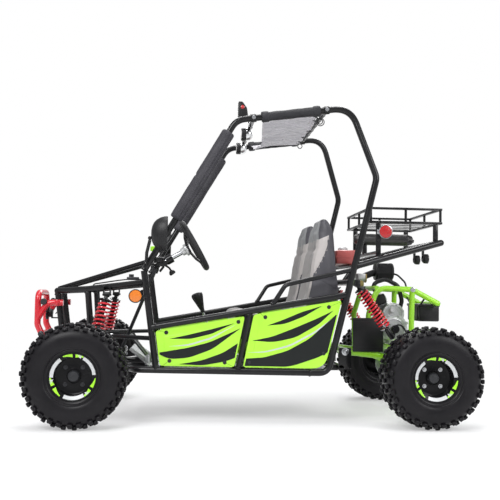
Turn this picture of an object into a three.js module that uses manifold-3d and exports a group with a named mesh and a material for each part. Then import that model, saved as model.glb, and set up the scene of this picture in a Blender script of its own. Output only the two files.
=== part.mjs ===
// Off road go kart in millimetres: +X to the rear, -Y to the driver's left, +Z up
// The origin is on the ground, under the middle of the overall box
import * as THREE from 'three';
import { mergeVertices } from 'three/addons/utils/BufferGeometryUtils.js';
import Module from 'manifold-3d';

const wasm = await Module();
wasm.setup();

// Whole kart
const overallLength = 2182;
const overallWidth = 1210;
const wheelbase = 1674;
const touchGap = 0.3;
const runGap = 0.6;
const bearingGap = 0.2;
const mergeDistance = 0.001;

// Tyres and rims
const tyreRadius = 241;
const frontTyreWidth = 180;
const rearTyreWidth = 214;
const tyreWall = 10;
const rimSeatRadius = 101.6;
const rimLipRadius = 113;
const rimLipThickness = 4;
const rimLipInset = 14;
const rimWall = 5;
const rimDiscOffset = 34;
const rimDiscThickness = 7;
const rimDishDepth = 12;
const hubRadius = 33;
const hubLength = 62;
const hubCapRadius = 26;
const hubCapHeight = 20;
const axleRadius = 12.5;

// Main tubes and the floor rails
const tubeRadius = 16;
const slimTubeRadius = 11;
const railZ = 251;
const innerRailY = 150;
const innerRailRearX = 494;
const pivotPlateFrontX = 466;
const pivotPlateThickness = 6;
const crossRearX = 300;
const steerCrossX = -650;
const noseLowX = -930;

// Side frames: front post, sill, divider and arm rest
const frontPostX = -462;
const frontPostHalfWidth = 352;
const sideSplayShare = 0.1013;
const dashX = -531;
const dashZ = 730;
const railFrontX = -560;
const railNoseX = -664;
const railFrontBend = 60;
const sillFrontZ = 456;
const sillRearZ = 628;
const dividerTopX = -13;
const dividerFootX = -69;
const dividerRadius = 13;
const armFootX = 86;
const armKneeX = 155;
const armKneeZ = 672;
const armRearZ = 752;
const armBend = 45;
const tabLength = 30;
const tabThickness = 4;

// Cage hoops
const roofFrontX = -95;
const roofFrontZ = 1481;
const roofFrontHalfWidth = 377;
const roofRearX = 472;
const roofRearZ = 1560;
const roofRearHalfWidth = 390;
const kinkX = 591;
const kinkZ = 1202;
const kinkHalfWidth = 458;
const railRearX = 364;
const hoopEndX = 270;
const roofFrontBend = 90;
const roofRearBend = 110;
const kinkBend = 80;
const footBend = 95;

// Nose and dash
const noseTipX = -982;
const noseTipZ = 625;
const noseTipHalfWidth = 95;
const secondPostFootX = -785;
const secondPostTopX = -818;
const secondPostTopZ = 636;
const secondPostHalfWidth = 188;
const sideTopRearZ = 672;
const bonnetTipHalfWidth = 62;
const bonnetTipRise = 24;
const bonnetRearHalfWidth = 200;
const dashTubeZ = 790;
const midRailZ = 403;
const noseBend = 40;

// Seats and the tubes that carry them
const seatTubeZ = 384;
const seatTubeFrontX = 5;
const seatTubeRearX = 235;
const seatTubeHalfWidth = 318;
const seatCentreY = 205;
const seatHalfWidth = 166;
const seatTopHalfWidth = 124;
const seatBaseFrontX = -75;
const seatBaseZ = 500;
const seatHollowZ = 466;
const seatCrookX = 262;
const seatCrookZ = 515;
const seatMidX = 322;
const seatMidZ = 780;
const seatTopX = 368;
const seatTopZ = 1008;
const seatRearX = 424;
const seatBaseBolster = 52;
const seatBackBolster = 92;
const seatCrown = 12;
const seatChannelDepth = 6;
const seatTopThickness = 34;

// Steering
const wheelX = -288;
const wheelZ = 866;
const steerY = -200;
const wheelRingRadius = 128;
const wheelGripRadius = 15;
const wheelHubDrop = 41;
const wheelHubRadius = 32;
const wheelHubThickness = 22;
const spokeRadius = 9;
const columnRadius = 11;
const columnEndX = -460;
const columnEndZ = 766.5;
const columnCollarRadius = 24;
const columnCollarLength = 34;
const columnCollarShare = 0.72;
const jointBallRadius = 15;
const lowerShaftRadius = 9;
const pinionY = -62;
const pinionX = -646;
const pinionZ = 343;
const rackX = -650;
const rackZ = 311;
const rackRadius = 10;
const rackTieGap = 4.6;
const rackEndLength = 22;
const rackHousingRadius = 19;
const rackHousingHalfLength = 115;
const tieRodRadius = 7;
const tieBallRadius = 11;
const steerArmSetback = 79;
const steerArmInset = 21;
const steerArmZ = 268;
const steerArmThickness = 12;

// Pedals and gear lever
const pedalPivotX = -508;
const pedalPivotZ = 300;
const brakePedalY = -228;
const throttlePedalY = -136;
const pedalWidth = 62;
const pedalRise = 112;
const pedalReach = 92;
const pedalPlateThickness = 8;
const pedalPinRadius = 6;
const pedalSleeveRadius = 12;
const shiftPivotX = -150;
const shiftPivotZ = 312;
const shiftKnobX = -271;
const shiftKnobZ = 625;
const shiftRadius = 7;
const shiftKnobRadius = 31;
const shiftKnobHeight = 112;
const shiftSleeveRadius = 14;
const earThickness = 6;

// Front arms, knuckles and kingpins
const armPivotY = 190;
const armPivotZ = 262;
const armBushFrontX = -916;
const armBushRearX = -732;
const armBushLength = 40;
const armBushRadius = 14;
const armTubeRadius = 11;
const kingpinWheelOffset = 100;
const kingpinHalfHeight = 52;
const kingpinBarrelRadius = 16;
const kingpinBarrelHalfHeight = 44;
const kingpinPlateInset = 28;
const kingpinPlateThickness = 6;
const kingpinPlateHalfLength = 19;

// Spring and damper units
const eyeRadius = 13;
const springWire = 8;
const springRadius = 27;
const springSeatRadius = 31;
const springSeatThickness = 6;
const damperRadius = 17;
const damperRodRadius = 7;
const damperOverlap = 40;
const damperCap = 24;
const frontShockTopX = -715;
const frontShockTopY = 262;
const frontShockTopZ = 610;
const frontShockFootInset = 75;
const frontShockFootOffset = 8.4;
const frontShockFootZ = 286;
const frontSpringLength = 196;
const frontSpringDrop = 26;
const rearShockPlaceShare = 0.5539;
const rearShockTopX = 534;
const rearShockTopZ = 679;
const rearShockFootX = 731;
const rearShockFootZ = 397;
const rearSpringLength = 222;
const rearSpringDrop = 26;
const lugThickness = 6;

// Swing arm carrier and rear axle
const swingPivotX = 498;
const swingPivotZ = 336;
const swingPivotHalfWidth = 196;
const swingPivotTubeRadius = 20;
const swingSideY = 170;
const swingTubeRadius = 17;
const swingMidX = 683;
const swingMidZ = 316;
const loopFootX = 632;
const loopLowX = 626;
const loopLowZ = 524;
const loopTopX = 670;
const loopTopZ = 667;
const loopBend = 70;
const uprightTopX = 859;
const uprightTopZ = 661;
const hookX = 1000;
const hookZ = 589;
const housingRadius = 33;
const housingHalfLength = 196;
const rearAxleRadius = 15;
const sprocketRadius = 92;
const sprocketY = -226;
const brakeDiscRadius = 84;
const brakeDiscY = 226;
const axleDiscThickness = 6;
const batteryFrontX = 900;
const batteryRearX = 1027;
const batteryTopZ = 586;
const batteryHeight = 93;
const batteryHalfWidth = 110;
const guardFrontX = 540;
const guardRearX = 700;
const guardTopZ = 510;
const guardLowZ = 352;
const guardThickness = 4;

// Engine, carburettor and air filter
const engineX = 772;
const engineZ = 452;
const crankcaseRadius = 84;
const crankcaseHalfWidth = 118;
const cylinderTopX = 706;
const cylinderTopZ = 618;
const cylinderHalfWidth = 52;
const cylinderDepth = 104;
const sideCoverRadius = 66;
const sideCoverThickness = 22;
const carbX = 622;
const carbZ = 722;
const carbRadius = 24;
const filterFrontX = 694;
const filterRearX = 796;
const filterZ = 761;
const filterRadius = 50;
const intakeRadius = 13;

// Rear subframe, silencer, tank and lamps
const subframeFrontZ = 767;
const subframeEndX = 958;
const subframeEndZ = 899;
const subframeEndHalfWidth = 328;
const shockTubeZ = 690;
const tankTubeX = 530;
const rackPostFrontX = 652;
const rackPostRearX = 952;
const rackPostWidth = 26;
const rackPostThickness = 8;
const silencerRadius = 33;
const silencerFrontX = 592;
const silencerRearX = 922;
const silencerZ = 935;
const silencerY = 40;
const tankFrontX = 458;
const tankRearX = 586;
const tankHalfWidth = 138;
const tankHeight = 68;
const tankCorner = 22;
const capRadius = 24;
const capHeight = 24;
const tailLampY = 76;
const tailLampRadius = 26;
const tailLampDepth = 34;
const tailLampDrop = 70;

// Cargo rack
const cargoFrontX = 612;
const cargoRearX = 978;
const cargoHalfWidth = 262;
const cargoFloorZ = 1005;
const cargoRailZ = 1078;
const cargoTubeRadius = 8.5;
const cargoSlatWidth = 24;
const cargoSlatThickness = 4;
const cargoSlats = 5;

// Floor pan and side panels
const panThickness = 4;
const panEdgeGap = 24;
const panRearX = 380;
const toeFrontX = -600;
const toeTopZ = 340;
const toeFootX = -500;
const toeHalfWidth = 262;
const panelThickness = 4;
const panelInset = 20;
const panelCorner = 16;
const panelFootCorner = 64;

// Bumper
const bumperTopZ = 614;
const bumperHoopHalfWidth = 118;
const bumperHoopBend = 46;
const bumperKneeZ = 482;
const bumperBellyZ = 452;
const bumperFootZ = 405;
const bumperFootSetback = 22;
const bumperShoulderZ = 564;
const bumperShoulderSetback = 48;
const bumperArmEndX = -948;
const bumperBend = 60;
const bumperArmGap = 0.8;

// Roof: cross bars, lamps, cloth, pads and mirrors
const roofBarFrontX = -11;
const roofBarRearX = 352;
const roofBarRadius = 12;
const roofBarClip = 26;
const lampY = 190;
const lampRadius = 30;
const lampLength = 58;
const lampDrop = 36;
const beaconY = -200;
const beaconFrontX = -76;
const beaconLength = 52;
const beaconWidth = 62;
const beaconLowZ = 1532;
const beaconHeight = 82;
const beaconPlate = 6;
const clothFrontX = 40;
const clothRearX = 316;
const clothSag = 64;
const clothThickness = 5;
const clothFoldDepth = 7;
const sleeveRadius = 25;
const padLowZ = 985;
const padHighZ = 1420;
const padNotchZ = 1190;
const padRadius = 33;
const padNotchDepth = 3;
const padNotchWidth = 14;
const mirrorX = -419;
const mirrorZ = 905;
const mirrorHalfWidth = 56;
const mirrorHalfHeight = 87;
const mirrorDepth = 78;
const mirrorY = 432;
const mirrorStalkRadius = 6;
const mirrorBallRadius = 10;
const mirrorStalkZ = 884;

// Counts of sides and steps
const tubeSides = 8;
const frameSides = 6;
const bendSteps = 3;
const wheelSides = 16;
const roundSides = 10;
const ballSides = 6;
const steeringSides = 16;
const squareSides = 4;
const curlSteps = 8;
const wireSides = 4;
const seatRows = 14;
const seatColumns = 8;
const clothSteps = 2;
const clothColumns = 18;
const clothFolds = 7;
const frontCurls = 8;
const rearCurls = 9;

// Places worked out from the sizes
const left = -1;
const right = 1;
const axleZ = tyreRadius;
const rearAxleX = overallLength / 2 - tyreRadius;
const frontAxleX = rearAxleX - wheelbase;
const frontWheelY = (overallWidth - frontTyreWidth) / 2;
const rearWheelY = (overallWidth - rearTyreWidth) / 2;
const bumperX = tubeRadius - overallLength / 2;
const kingpinY = frontWheelY - kingpinWheelOffset;
const kingpinPlateY = kingpinY - kingpinPlateInset;
const steerArmX = frontAxleX + steerArmSetback;
const steerArmY = kingpinY - steerArmInset;
const rearTyreInnerY = overallWidth / 2 - rearTyreWidth;
const loopOuterY = swingSideY + swingTubeRadius;
const rearShockY = loopOuterY + rearShockPlaceShare * (rearTyreInnerY - loopOuterY);
const shockCrossZ = rearShockFootZ - eyeRadius * 3.2;

const at = (x, y, z) => new THREE.Vector3(x, y, z);
const sideName = (side) => (side === left ? 'left' : 'right');
const sideHalfWidth = (x) => frontPostHalfWidth + (x - frontPostX) * sideSplayShare;
const onSide = (side, x, z) => at(x, side * sideHalfWidth(x), z);

// The point of a straight line that lies at a height or at a station
function atHeight(from, to, z) {
  return from.clone().lerp(to, (z - from.z) / (to.z - from.z));
}
function atStation(from, to, x) {
  return from.clone().lerp(to, (x - from.x) / (to.x - from.x));
}

// A run of points that a section follows, with its mitre planes between the legs
class BentLine extends THREE.Curve {
  constructor(points) {
    super();
    this.points = points;
  }
  getPoint(share, target = new THREE.Vector3()) {
    return target.copy(this.points[Math.round(share * (this.points.length - 1))]);
  }
  getPointAt(share, target) {
    return this.getPoint(share, target);
  }
  getTangentAt(share, target = new THREE.Vector3()) {
    const last = this.points.length - 1;
    const here = Math.round(share * last);
    const before = this.points[Math.max(here - 1, 0)];
    const after = this.points[Math.min(here + 1, last)];
    const arriving = this.points[here].clone().sub(before).normalize();
    const leaving = after.clone().sub(this.points[here]).normalize();
    return target.copy(arriving).add(leaving).normalize();
  }
}

// Corners joined by straight legs with a round bend at each
function bent(corners, bends) {
  const points = [corners[0]];
  for (let i = 1; i < corners.length - 1; i++) {
    const bend = Array.isArray(bends) ? bends[i - 1] : bends;
    const back = corners[i - 1].clone().sub(corners[i]);
    const onward = corners[i + 1].clone().sub(corners[i]);
    const turn = Math.PI - back.angleTo(onward);
    const reach = Math.min(bend * Math.tan(turn / 2), back.length() / 2, onward.length() / 2);
    const start = corners[i].clone().add(back.setLength(reach));
    const end = corners[i].clone().add(onward.setLength(reach));
    points.push(...new THREE.QuadraticBezierCurve3(start, corners[i], end).getPoints(bendSteps));
  }
  points.push(corners[corners.length - 1]);
  return points;
}

function roundShape(radius, sides) {
  const shape = new THREE.Shape();
  for (let i = 0; i < sides; i++) {
    const angle = ((i + 0.5) / sides) * Math.PI * 2;
    const [x, y] = [radius * Math.cos(angle), radius * Math.sin(angle)];
    if (i === 0) shape.moveTo(x, y);
    else shape.lineTo(x, y);
  }
  shape.closePath();
  return shape;
}

function sweep(shape, points) {
  return new THREE.ExtrudeGeometry(shape, { steps: points.length - 1, extrudePath: new BentLine(points) });
}
const sidesFor = (radius) => (radius > 1.2 * tubeRadius ? tubeSides : frameSides);
const tube = (corners, radius, bends = 0, sides = sidesFor(radius)) =>
  sweep(roundShape(radius, sides), corners.length > 2 ? bent(corners, bends) : corners);
const rod = (from, to, radius, sides = sidesFor(radius)) => tube([from, to], radius, 0, sides);

// The end of a tube that butts against a main tube, inside that tube but short of its centre line
const buttShare = 0.4;
const shortOf = (from, to) => to.clone().add(from.clone().sub(to).setLength(tubeRadius * buttShare));
const buttedRod = (from, to, radius) => rod(shortOf(to, from), shortOf(from, to), radius);

// From a tube's centre to the middle of its flats, a bore whose flats lie along a tube's own,
// and a bore that the corners of a round piece clear however it is turned
const flatOf = (radius, sides = sidesFor(radius)) => radius * Math.cos(Math.PI / sides);
const snugRadius = (radius, sides = sidesFor(radius)) => radius + touchGap / Math.cos(Math.PI / sides);
const boreRadius = (radius, gap, sides = sidesFor(radius)) => (radius + gap) / Math.cos(Math.PI / sides);

function block(x, y, z, length, width, height) {
  return new THREE.BoxGeometry(length, width, height).translate(x, y, z);
}
function blockBetween(low, high) {
  const size = high.clone().sub(low);
  const middle = low.clone().add(high).multiplyScalar(0.5);
  return block(middle.x, middle.y, middle.z, size.x, size.y, size.z);
}
const ball = (centre, radius, sides = ballSides) =>
  new THREE.SphereGeometry(radius, sides, sides / 2).rotateX(Math.PI / 2).translate(centre.x, centre.y, centre.z);

// A turned shape whose axis runs along Y, from [radius, place] pairs
function turned(profile, sides = wheelSides, closed = false) {
  const points = profile.map(([radius, place]) => new THREE.Vector2(radius, place));
  if (closed) points.push(points[0].clone());
  return new THREE.LatheGeometry(points, sides, Math.PI / sides);
}

// Closed triangle meshes as solids that can be joined and cut
function signedVolume(positions, triangles) {
  const corner = (i) => at(positions[3 * i], positions[3 * i + 1], positions[3 * i + 2]);
  let volume = 0;
  for (let i = 0; i < triangles.length; i += 3) {
    const [a, b, c] = [corner(triangles[i]), corner(triangles[i + 1]), corner(triangles[i + 2])];
    volume += a.dot(b.cross(c)) / 6;
  }
  return volume;
}

function solid(geometry) {
  const bare = new THREE.BufferGeometry();
  bare.setAttribute('position', geometry.getAttribute('position').clone());
  if (geometry.index) bare.setIndex(geometry.index.clone());
  const merged = mergeVertices(bare, mergeDistance);
  const positions = merged.getAttribute('position').array;
  const source = merged.index.array;
  const triangles = [];
  for (let i = 0; i < source.length; i += 3) {
    const [a, b, c] = [source[i], source[i + 1], source[i + 2]];
    if (a !== b && b !== c && c !== a) triangles.push(a, b, c);
  }
  if (signedVolume(positions, triangles) < 0) triangles.reverse();
  return new wasm.Manifold(new wasm.Mesh({
    numProp: 3,
    vertProperties: Float32Array.from(positions),
    triVerts: Uint32Array.from(triangles),
  }));
}
const join = (...shapes) => shapes.flat().map(asSolid).reduce((whole, shape) => whole.add(shape));
const asSolid = (shape) => (shape.isBufferGeometry ? solid(shape) : shape);
const cut = (whole, ...tools) => tools.flat().map(asSolid).reduce((rest, tool) => rest.subtract(tool), asSolid(whole));

function geometryOf(shape) {
  const mesh = asSolid(shape).getMesh();
  const geometry = new THREE.BufferGeometry();
  const positions = new Float32Array((mesh.vertProperties.length / mesh.numProp) * 3);
  for (let i = 0; i < positions.length / 3; i++) {
    for (let k = 0; k < 3; k++) positions[3 * i + k] = mesh.vertProperties[i * mesh.numProp + k];
  }
  geometry.setAttribute('position', new THREE.BufferAttribute(positions, 3));
  geometry.setIndex(new THREE.BufferAttribute(Uint32Array.from(mesh.triVerts), 1));
  geometry.computeVertexNormals();
  return geometry;
}

// Finishes
const finish = (color, roughness, metalness) => new THREE.MeshStandardMaterial({ color, roughness, metalness });
const blackPaint = () => finish(0x17181a, 0.38, 0.3);
const greySteel = () => finish(0x3b3d41, 0.45, 0.5);
const brightSteel = () => finish(0xa9acb0, 0.3, 0.9);
const aluminium = () => finish(0x9c9fa3, 0.4, 0.85);
const redPaint = () => finish(0xd8202a, 0.35, 0.2);
const limePaint = () => finish(0xa8e02c, 0.4, 0.1);
const limePlastic = () => finish(0xb4f03c, 0.35, 0);
const blackPlastic = () => finish(0x1c1c1e, 0.5, 0);
const darkFoam = () => finish(0x55565a, 0.75, 0);
const paleCloth = () => finish(0xc9c5cb, 0.85, 0);
const seatCover = () => finish(0x4c4d52, 0.6, 0);
const tyreRubber = () => finish(0x1d1d20, 0.85, 0);
const redTank = () => finish(0xc2504c, 0.45, 0);

const kart = new THREE.Group();
function add(name, shape, material, parent = kart) {
  const mesh = new THREE.Mesh(geometryOf(shape), material);
  mesh.name = name;
  parent.add(mesh);
  return mesh;
}

// Cage hoops: one bent tube each, from the dash over the roof and down into the floor rail
function hoopCorners(side) {
  return [
    onSide(side, dashX, dashZ),
    at(roofFrontX, side * roofFrontHalfWidth, roofFrontZ),
    at(roofRearX, side * roofRearHalfWidth, roofRearZ),
    at(kinkX, side * kinkHalfWidth, kinkZ),
    onSide(side, railRearX, railZ),
    onSide(side, hoopEndX, railZ),
  ];
}
const hoopBends = [roofFrontBend, roofRearBend, kinkBend, footBend];
const hoopTube = (side, radius) => tube(hoopCorners(side), radius, hoopBends);
const hoopClearance = (side) => hoopTube(side, snugRadius(tubeRadius));
const bothHoops = () => [hoopClearance(left), hoopClearance(right)];

const pillarAt = (side, z) => atHeight(hoopCorners(side)[3], hoopCorners(side)[4], z);
const frontPillarAt = (side, z) => atHeight(hoopCorners(side)[0], hoopCorners(side)[1], z);
const roofRailAt = (side, x) => atStation(hoopCorners(side)[1], hoopCorners(side)[2], x);
const mirrorBall = (side) => at(mirrorX - mirrorDepth - mirrorBallRadius / 2, side * mirrorY, mirrorStalkZ);

const stalkFoot = (side) => frontPillarAt(side, dashZ + tubeRadius);
const stalkKnee = (side) => stalkFoot(side).lerp(mirrorBall(side), 1 / 2).sub(at(mirrorStalkRadius, 0, 0));
const stalkAim = (side) => mirrorBall(side).sub(stalkKnee(side)).normalize();

const hoopShapes = {};
for (const side of [left, right]) {
  const end = mirrorBall(side).addScaledVector(stalkAim(side), -mirrorBallRadius - touchGap);
  const stalk = tube([stalkFoot(side), stalkKnee(side), end], mirrorStalkRadius, tubeRadius * 4);
  hoopShapes[side] = join(hoopTube(side, tubeRadius), stalk);
}

// Side frames: floor rail, front post, sill, divider and arm rest welded together
const postAt = (side, z) => atHeight(onSide(side, frontPostX, railZ), onSide(side, dashX, dashZ), z);
const sillAt = (side, x) => atStation(postAt(side, sillFrontZ), pillarAt(side, sillRearZ), x);
const railPath = (side) => [
  onSide(side, hoopEndX - touchGap, railZ),
  onSide(side, railFrontX, railZ),
  at(railNoseX, side * innerRailY, railZ),
];
const railTube = (side, radius) => tube(railPath(side), radius, railFrontBend);
const postTube = (side, radius) => rod(postAt(side, railZ), postAt(side, dashZ), radius);
const dividerTube = (side, radius) => rod(sillAt(side, dividerTopX), onSide(side, dividerFootX, railZ), radius);
const innerRail = (side, radius) =>
  rod(at(innerRailRearX, side * innerRailY, railZ), at(noseLowX - tubeRadius, side * innerRailY, railZ), radius);

// The four corners of each panel opening, counted from the low front one
function openingCorners(side, place) {
  const front = place === 'front';
  const low = railZ;
  const dividerTop = sillAt(side, dividerTopX);
  const dividerFoot = onSide(side, dividerFootX, low);
  const corners = front
    ? [postAt(side, low), dividerFoot, dividerTop, postAt(side, sillFrontZ)]
    : [dividerFoot, pillarAt(side, low), pillarAt(side, sillRearZ), dividerTop];
  return corners.map((corner) => new THREE.Vector2(corner.x, corner.z));
}

// An outline drawn in from the tube centres by the same distance on every edge
function drawnIn(outline, distance) {
  const count = outline.length;
  return outline.map((corner, i) => {
    const before = outline[(i + count - 1) % count];
    const after = outline[(i + 1) % count];
    const arriving = corner.clone().sub(before).normalize();
    const leaving = after.clone().sub(corner).normalize();
    const bisector = leaving.clone().sub(arriving).normalize();
    const halfAngle = Math.acos(THREE.MathUtils.clamp(-arriving.dot(leaving), -1, 1)) / 2;
    return corner.clone().add(bisector.multiplyScalar(distance / Math.sin(halfAngle)));
  });
}

function cutCorners(outline, reaches) {
  const shape = new THREE.Shape();
  outline.forEach((corner, i) => {
    const reach = reaches[i];
    const before = outline[(i + outline.length - 1) % outline.length];
    const after = outline[(i + 1) % outline.length];
    const start = corner.clone().add(before.clone().sub(corner).setLength(reach));
    const end = corner.clone().add(after.clone().sub(corner).setLength(reach));
    if (i === 0) shape.moveTo(start.x, start.y);
    else shape.lineTo(start.x, start.y);
    shape.quadraticCurveTo(corner.x, corner.y, end.x, end.y);
  });
  shape.closePath();
  return shape;
}

// A flat plate that stands in the splayed side plane, thick from its inner to its outer offset
function sidePlate(side, shape, inner, outer, curveSegments = 2) {
  const flat = new THREE.ExtrudeGeometry(shape, { depth: outer - inner, bevelEnabled: false, curveSegments });
  const points = flat.getAttribute('position');
  for (let i = 0; i < points.count; i++) {
    const [x, z, out] = [points.getX(i), points.getY(i), points.getZ(i) + inner];
    points.setXYZ(i, x, side * (sideHalfWidth(x) + out), z);
  }
  return flat;
}

function panelOutline(side, place) {
  return drawnIn(openingCorners(side, place), panelInset);
}

// Tabs reach from the tubes behind each panel corner
function cornerTabs(side, place) {
  const inner = panelOutline(side, place);
  const outer = drawnIn(openingCorners(side, place), tubeRadius / 2);
  return inner.map((corner, i) => {
    const reach = corner.clone().lerp(outer[(i + 2) % outer.length], tabLength / corner.distanceTo(outer[(i + 2) % 4]));
    const across = reach.clone().sub(outer[i]);
    const normal = new THREE.Vector2(-across.y, across.x).setLength(tabLength / 2);
    const shape = new THREE.Shape([outer[i].clone().add(normal), outer[i].clone().sub(normal), reach]);
    const face = -panelThickness / 2 - touchGap;
    return sidePlate(side, shape, face - tabThickness, face);
  });
}

for (const side of [left, right]) {
  const sill = buttedRod(sillAt(side, postAt(side, sillFrontZ).x), pillarAt(side, sillRearZ), tubeRadius);
  const divider = dividerTube(side, dividerRadius);
  const armKnee = onSide(side, armKneeX, armKneeZ);
  const armRest = tube(
    [sillAt(side, armFootX), armKnee, shortOf(armKnee, pillarAt(side, armRearZ))], slimTubeRadius, armBend);
  const [rearTab, pillarTab, ...sillTabs] = cornerTabs(side, 'rear');
  const frame = join(railTube(side, tubeRadius), postTube(side, tubeRadius), sill, divider, armRest,
    cornerTabs(side, 'front'), rearTab, sillTabs);
  add(`cage_${sideName(side)}`, join(hoopShapes[side], pillarTab), blackPaint());
  add(`side_frame_${sideName(side)}`, cut(frame, hoopClearance(side), innerRail(side, snugRadius(tubeRadius))),
    blackPaint());
  for (const place of ['front', 'rear']) {
    const footCorner = place === 'rear' ? panelFootCorner : panelCorner;
    const corners = cutCorners(panelOutline(side, place), [panelCorner, footCorner, panelCorner, panelCorner]);
    const plate = sidePlate(side, corners, -panelThickness / 2, panelThickness / 2);
    add(`side_panel_${place}_${sideName(side)}`, plate, limePlastic());
  }
}

// Points of the steering axis
const columnAxis = at(columnEndX - wheelX, 0, columnEndZ - wheelZ).normalize();
const onColumn = (distance) => at(wheelX, steerY, wheelZ).addScaledVector(columnAxis, distance);
const columnLength = Math.hypot(columnEndX - wheelX, columnEndZ - wheelZ);
const jointBall = onColumn(columnLength + jointBallRadius);
const pinionTop = at(pinionX, pinionY, pinionZ);

// Chassis: inner rails, cross tubes, nose, dash tube, seat tubes and the brackets on them
const secondPostAt = (side, z) => atHeight(
  at(secondPostFootX, side * innerRailY, railZ),
  at(secondPostTopX, side * secondPostHalfWidth, secondPostTopZ), z);
const sideTopRail = (side) => [
  at(noseTipX, side * noseTipHalfWidth, noseTipZ),
  at(secondPostTopX, side * secondPostHalfWidth, secondPostTopZ),
  postAt(side, sideTopRearZ),
];
const acrossAt = (x, z, halfWidth, radius, sides = sidesFor(radius)) =>
  rod(at(x, -halfWidth, z), at(x, halfWidth, z), radius, sides);

// How far the eyes of a unit between two points reach along X or Y
const eyeShares = [[0.87, 0.5], [0.87, -0.5]];
function eyeReach(top, foot, along) {
  const stand = new THREE.Quaternion().setFromUnitVectors(at(0, 0, 1), top.clone().sub(foot).normalize());
  const ring = eyeShares.flatMap(([wide, high]) => roundShape(wide * eyeRadius, tubeSides).getPoints()
    .map((point) => at(point.x, point.y, high * eyeRadius).applyQuaternion(stand)));
  return Math.max(...ring.map((point) => Math.abs(point[along])));
}

// A pair of lugs that hold an eye between them, square to X or to Y
function lugPair(centre, reach, low, high, along) {
  return [-1, 1].map((end) => {
    const near = end * (reach + runGap);
    const far = near + end * lugThickness;
    const [a, b] = [Math.min(near, far), Math.max(near, far)];
    return along === 'x'
      ? blockBetween(at(centre.x + a, low.y, low.z), at(centre.x + b, high.y, high.z))
      : blockBetween(at(low.x, centre.y + a, low.z), at(high.x, centre.y + b, high.z));
  });
}

function armLugs(side) {
  const shapes = [];
  for (const x of [armBushFrontX, armBushRearX]) {
    for (const end of [-1, 1]) {
      const near = x + end * (armBushLength / 2 + touchGap);
      const far = near + end * lugThickness;
      const ys = [side * innerRailY, side * (armPivotY + armBushRadius)];
      shapes.push(blockBetween(
        at(Math.min(near, far), Math.min(...ys), armPivotZ - armBushRadius),
        at(Math.max(near, far), Math.max(...ys), armPivotZ + armBushRadius)));
    }
  }
  return shapes;
}

const frontShockTop = (side) => at(frontShockTopX, side * frontShockTopY, frontShockTopZ);
const armLegEnd = (side, bushX) => at(
  frontAxleX + Math.sign(bushX - frontAxleX) * kingpinPlateHalfLength / 4, side * kingpinPlateY, axleZ);
function frontShockFoot(side) {
  const outer = armLegEnd(side, armBushRearX);
  const y = kingpinY - frontShockFootInset;
  const share = (kingpinPlateY - y) / (kingpinPlateY - armPivotY);
  const x = outer.x + share * (armBushRearX - outer.x) + frontShockFootOffset;
  return at(x, side * y, frontShockFootZ);
}
const frontEyeReach = eyeReach(frontShockTop(right), frontShockFoot(right), 'x');
const rearShockTop = (side) => at(rearShockTopX, side * rearShockY, rearShockTopZ);
const rearShockFoot = (side) => at(rearShockFootX, side * rearShockY, rearShockFootZ);
const rearEyeReach = eyeReach(rearShockTop(right), rearShockFoot(right), 'y');

function frontShockLugs(side) {
  const top = frontShockTop(side);
  const rail = atStation(sideTopRail(side)[1], sideTopRail(side)[2], top.x);
  const ys = [rail.y - side * tubeRadius / 2, top.y + side * eyeRadius];
  return lugPair(top, frontEyeReach, at(0, Math.min(...ys), top.z - eyeRadius / 2), at(0, Math.max(...ys), rail.z),
    'x');
}

const dashPoint = (side) => frontPillarAt(side, dashTubeZ);
const chassisShapes = [
  innerRail(left, tubeRadius), innerRail(right, tubeRadius),
  acrossAt(frontPostX, railZ, frontPostHalfWidth, tubeRadius),
  acrossAt(dividerFootX, railZ, sideHalfWidth(dividerFootX), tubeRadius),
  acrossAt(crossRearX, railZ, sideHalfWidth(crossRearX), tubeRadius),
  acrossAt(steerCrossX, railZ, innerRailY, tubeRadius),
  acrossAt(noseLowX, railZ, innerRailY, tubeRadius),
  acrossAt(noseTipX, noseTipZ, noseTipHalfWidth + tubeRadius / 2, tubeRadius),
  rod(dashPoint(left), dashPoint(right), tubeRadius),
];
for (const side of [left, right]) {
  const dashInner = dashPoint(side).setY(side * bonnetRearHalfWidth);
  chassisShapes.push(
    rod(at(noseLowX, side * noseTipHalfWidth, railZ), at(noseTipX, side * noseTipHalfWidth, noseTipZ), tubeRadius),
    rod(secondPostAt(side, railZ), secondPostAt(side, secondPostTopZ), tubeRadius),
    tube(sideTopRail(side), tubeRadius, noseBend, frameSides),
    rod(at(noseTipX, side * bonnetTipHalfWidth, noseTipZ + bonnetTipRise / 2), dashInner, slimTubeRadius),
    rod(postAt(side, midRailZ), secondPostAt(side, midRailZ), slimTubeRadius),
    ...armLugs(side), ...frontShockLugs(side));
  for (const x of [seatTubeFrontX, seatTubeRearX]) {
    chassisShapes.push(rod(at(x, side * innerRailY, railZ), at(x, side * innerRailY, seatTubeZ), slimTubeRadius,
      squareSides));
  }
}
for (const x of [seatTubeFrontX, seatTubeRearX]) {
  chassisShapes.push(acrossAt(x, seatTubeZ, seatTubeHalfWidth, slimTubeRadius, squareSides));
}

// The carrier of the swing arm: a cross tube at the rail ends, two plates and the pin between them
const pivotPlateY = swingPivotHalfWidth + touchGap;
chassisShapes.push(
  acrossAt(innerRailRearX - tubeRadius, railZ, pivotPlateY + pivotPlateThickness, tubeRadius),
  acrossAt(swingPivotX, swingPivotZ, pivotPlateY + pivotPlateThickness, slimTubeRadius));
for (const side of [left, right]) {
  const ys = [side * pivotPlateY, side * (pivotPlateY + pivotPlateThickness)];
  chassisShapes.push(blockBetween(at(pivotPlateFrontX, Math.min(...ys), railZ),
    at(2 * swingPivotX - pivotPlateFrontX, Math.max(...ys), swingPivotZ + swingPivotTubeRadius)));
}

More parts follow.
